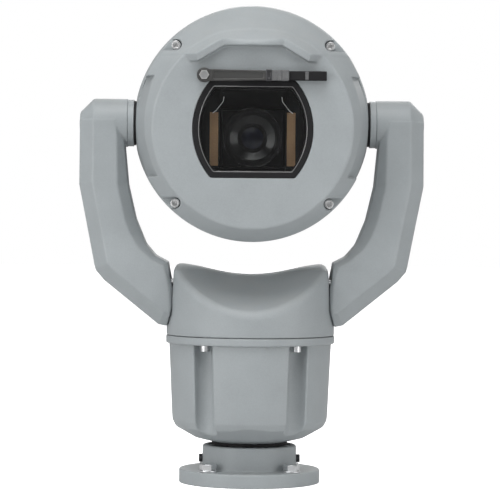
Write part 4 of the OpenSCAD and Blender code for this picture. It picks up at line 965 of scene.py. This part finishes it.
def finish_small_parts():
    """Carried-over CAD nodes: their slot's finish and a small round on each edge."""
    slots = {s["node"]: s["material_slot"] for s in frame["record"]["subparts"]}
    rounds = {"pan_balls": 0, "tilt_balls": 0, "front_lens": 0, "pan_gear": 0.12, "tilt_gear": 0.12,
              "pan_pinion": 0.12, "tilt_pinion": 0.12, "control_board": 0.2, "sensor_board": 0.2,
              "heater_strips": 0.1, "window_pane": 0.25, "camera_block": 0.8, "camera_bracket": 0.3,
              "pan_seal": 0.4, "tilt_seals": 0.3, "left_axle": 0.4, "right_axle": 0.4, "wiper_nut": 0.15}
    own_look = {"left_axle": FINISHES["grey_casting"], "right_axle": FINISHES["grey_casting"],
                "wiper_nut": CLIP_STEEL}
    for name, thing in frame["nodes"].items():
        if thing.type != "MESH" or name not in slots:
            continue
        look = own_look.get(name, FINISHES[slots[name]])
        if not thing.material_slots:
            thing.data.materials.append(look)
        for place in thing.material_slots:
            place.link = "OBJECT"
            place.material = look
        size = rounds.get(name, 0.25)
        if size:
            made = thing.modifiers.new("edge_round", "BEVEL")
            made.width = size * MM
            made.segments = 2
            made.limit_method = "ANGLE"
            made.angle_limit = math.radians(32)


# ---------------------------------------------------------------- studio

def studio_floor():
    """Plain pale floor, seen by the camera as white."""
    mesh = bpy.data.meshes.new("floor")
    mesh.from_pydata([(-6, -3, 0), (6, -3, 0), (6, 9, 0), (-6, 9, 0)], [], [(0, 1, 2, 3)])
    made, tree, shader = finish("floor_white", specular=0.1)
    grain = noise(tree, local(tree), 300.0, 3.0)
    colour = mixed(tree, grain, (0.80, 0.80, 0.80), (0.83, 0.83, 0.83))
    surface(tree, shader, colour, remap(tree, grain, 0, 1, 0.7, 0.8))
    seen = tree.nodes.new("ShaderNodeLightPath").outputs["Is Camera Ray"]
    shader.inputs["Emission Color"].default_value = (1, 1, 1, 1)
    tree.links.new(seen, shader.inputs["Emission Strength"])
    mesh.materials.append(made)
    thing = bpy.data.objects.new("floor", mesh)
    bpy.context.scene.collection.objects.link(thing)


def soft_box(name, place, aim, wide, high, power, colour=(1, 1, 1)):
    lamp = bpy.data.lights.new(name, "AREA")
    lamp.shape, lamp.size, lamp.size_y = "RECTANGLE", wide, high
    lamp.energy, lamp.color = power, colour
    thing = bpy.data.objects.new(name, lamp)
    thing.location = place
    thing.rotation_euler = (Vector(aim) - Vector(place)).to_track_quat("-Z", "Y").to_euler()
    bpy.context.scene.collection.objects.link(thing)


def studio_light():
    """Soft boxes round the object, and a white world that lights it from the front less."""
    middle = (0, 0, 0.24)
    soft_box("key_left", (-1.6, -1.4, 0.55), (0, 0, 0.2), 1.0, 1.3, 16)
    soft_box("fill_right", (1.7, -1.2, 0.3), (0, 0, 0.14), 0.9, 1.2, 12.5)
    soft_box("top", (-0.2, -0.8, 1.9), middle, 1.4, 1.0, 21)
    soft_box("front", (-0.25, -1.6, 1.3), middle, 1.4, 0.8, 4.5)
    soft_box("back", (0.4, 1.9, 1.2), middle, 1.4, 1.2, 12)
    world = bpy.data.worlds.new("studio")
    world.use_nodes = True
    bpy.context.scene.world = world
    tree = world.node_tree
    tree.nodes.clear()
    seen = node(tree, "ShaderNodeBackground", {"Color": (1, 1, 1, 1), "Strength": 1.0})
    up = node(tree, "ShaderNodeSeparateXYZ", {0: tree.nodes.new("ShaderNodeTexCoord").outputs["Generated"]})
    back = remap(tree, up.outputs["Y"], -0.9, 0.3, 0.3, 1.0)
    strength = sums(tree, "MULTIPLY", back, 0.38)
    light = node(tree, "ShaderNodeBackground", {"Color": (1, 1, 1, 1), "Strength": strength})
    camera_ray = tree.nodes.new("ShaderNodeLightPath").outputs["Is Camera Ray"]
    mix = node(tree, "ShaderNodeMixShader", {0: camera_ray, 1: light.outputs[0], 2: seen.outputs[0]})
    end = tree.nodes.new("ShaderNodeOutputWorld")
    tree.links.new(mix.outputs[0], end.inputs[0])


def studio_camera():
    lens = bpy.data.cameras.new("camera")
    lens.sensor_width = 36
    lens.lens = 176.7
    lens.shift_x = -0.0018
    lens.clip_start, lens.clip_end = 0.05, 30
    thing = bpy.data.objects.new("camera", lens)
    thing.location = (-0.0215, -2.15, 0.2334)
    turn, pitch, roll = math.radians(-0.573), math.radians(90 - 0.8055), math.radians(0.45)
    aimed = Matrix.Rotation(turn, 4, "Z") @ Matrix.Rotation(pitch, 4, "X")
    thing.rotation_euler = (aimed @ Matrix.Rotation(roll, 4, "Z")).to_euler()
    bpy.context.scene.collection.objects.link(thing)
    bpy.context.scene.camera = thing
    bpy.context.scene.view_settings.view_transform = "Standard"


build_castings()
build_window()
build_wiper()
build_bolts()
build_head_screws()
finish_small_parts()
studio_floor()
studio_light()
studio_camera()
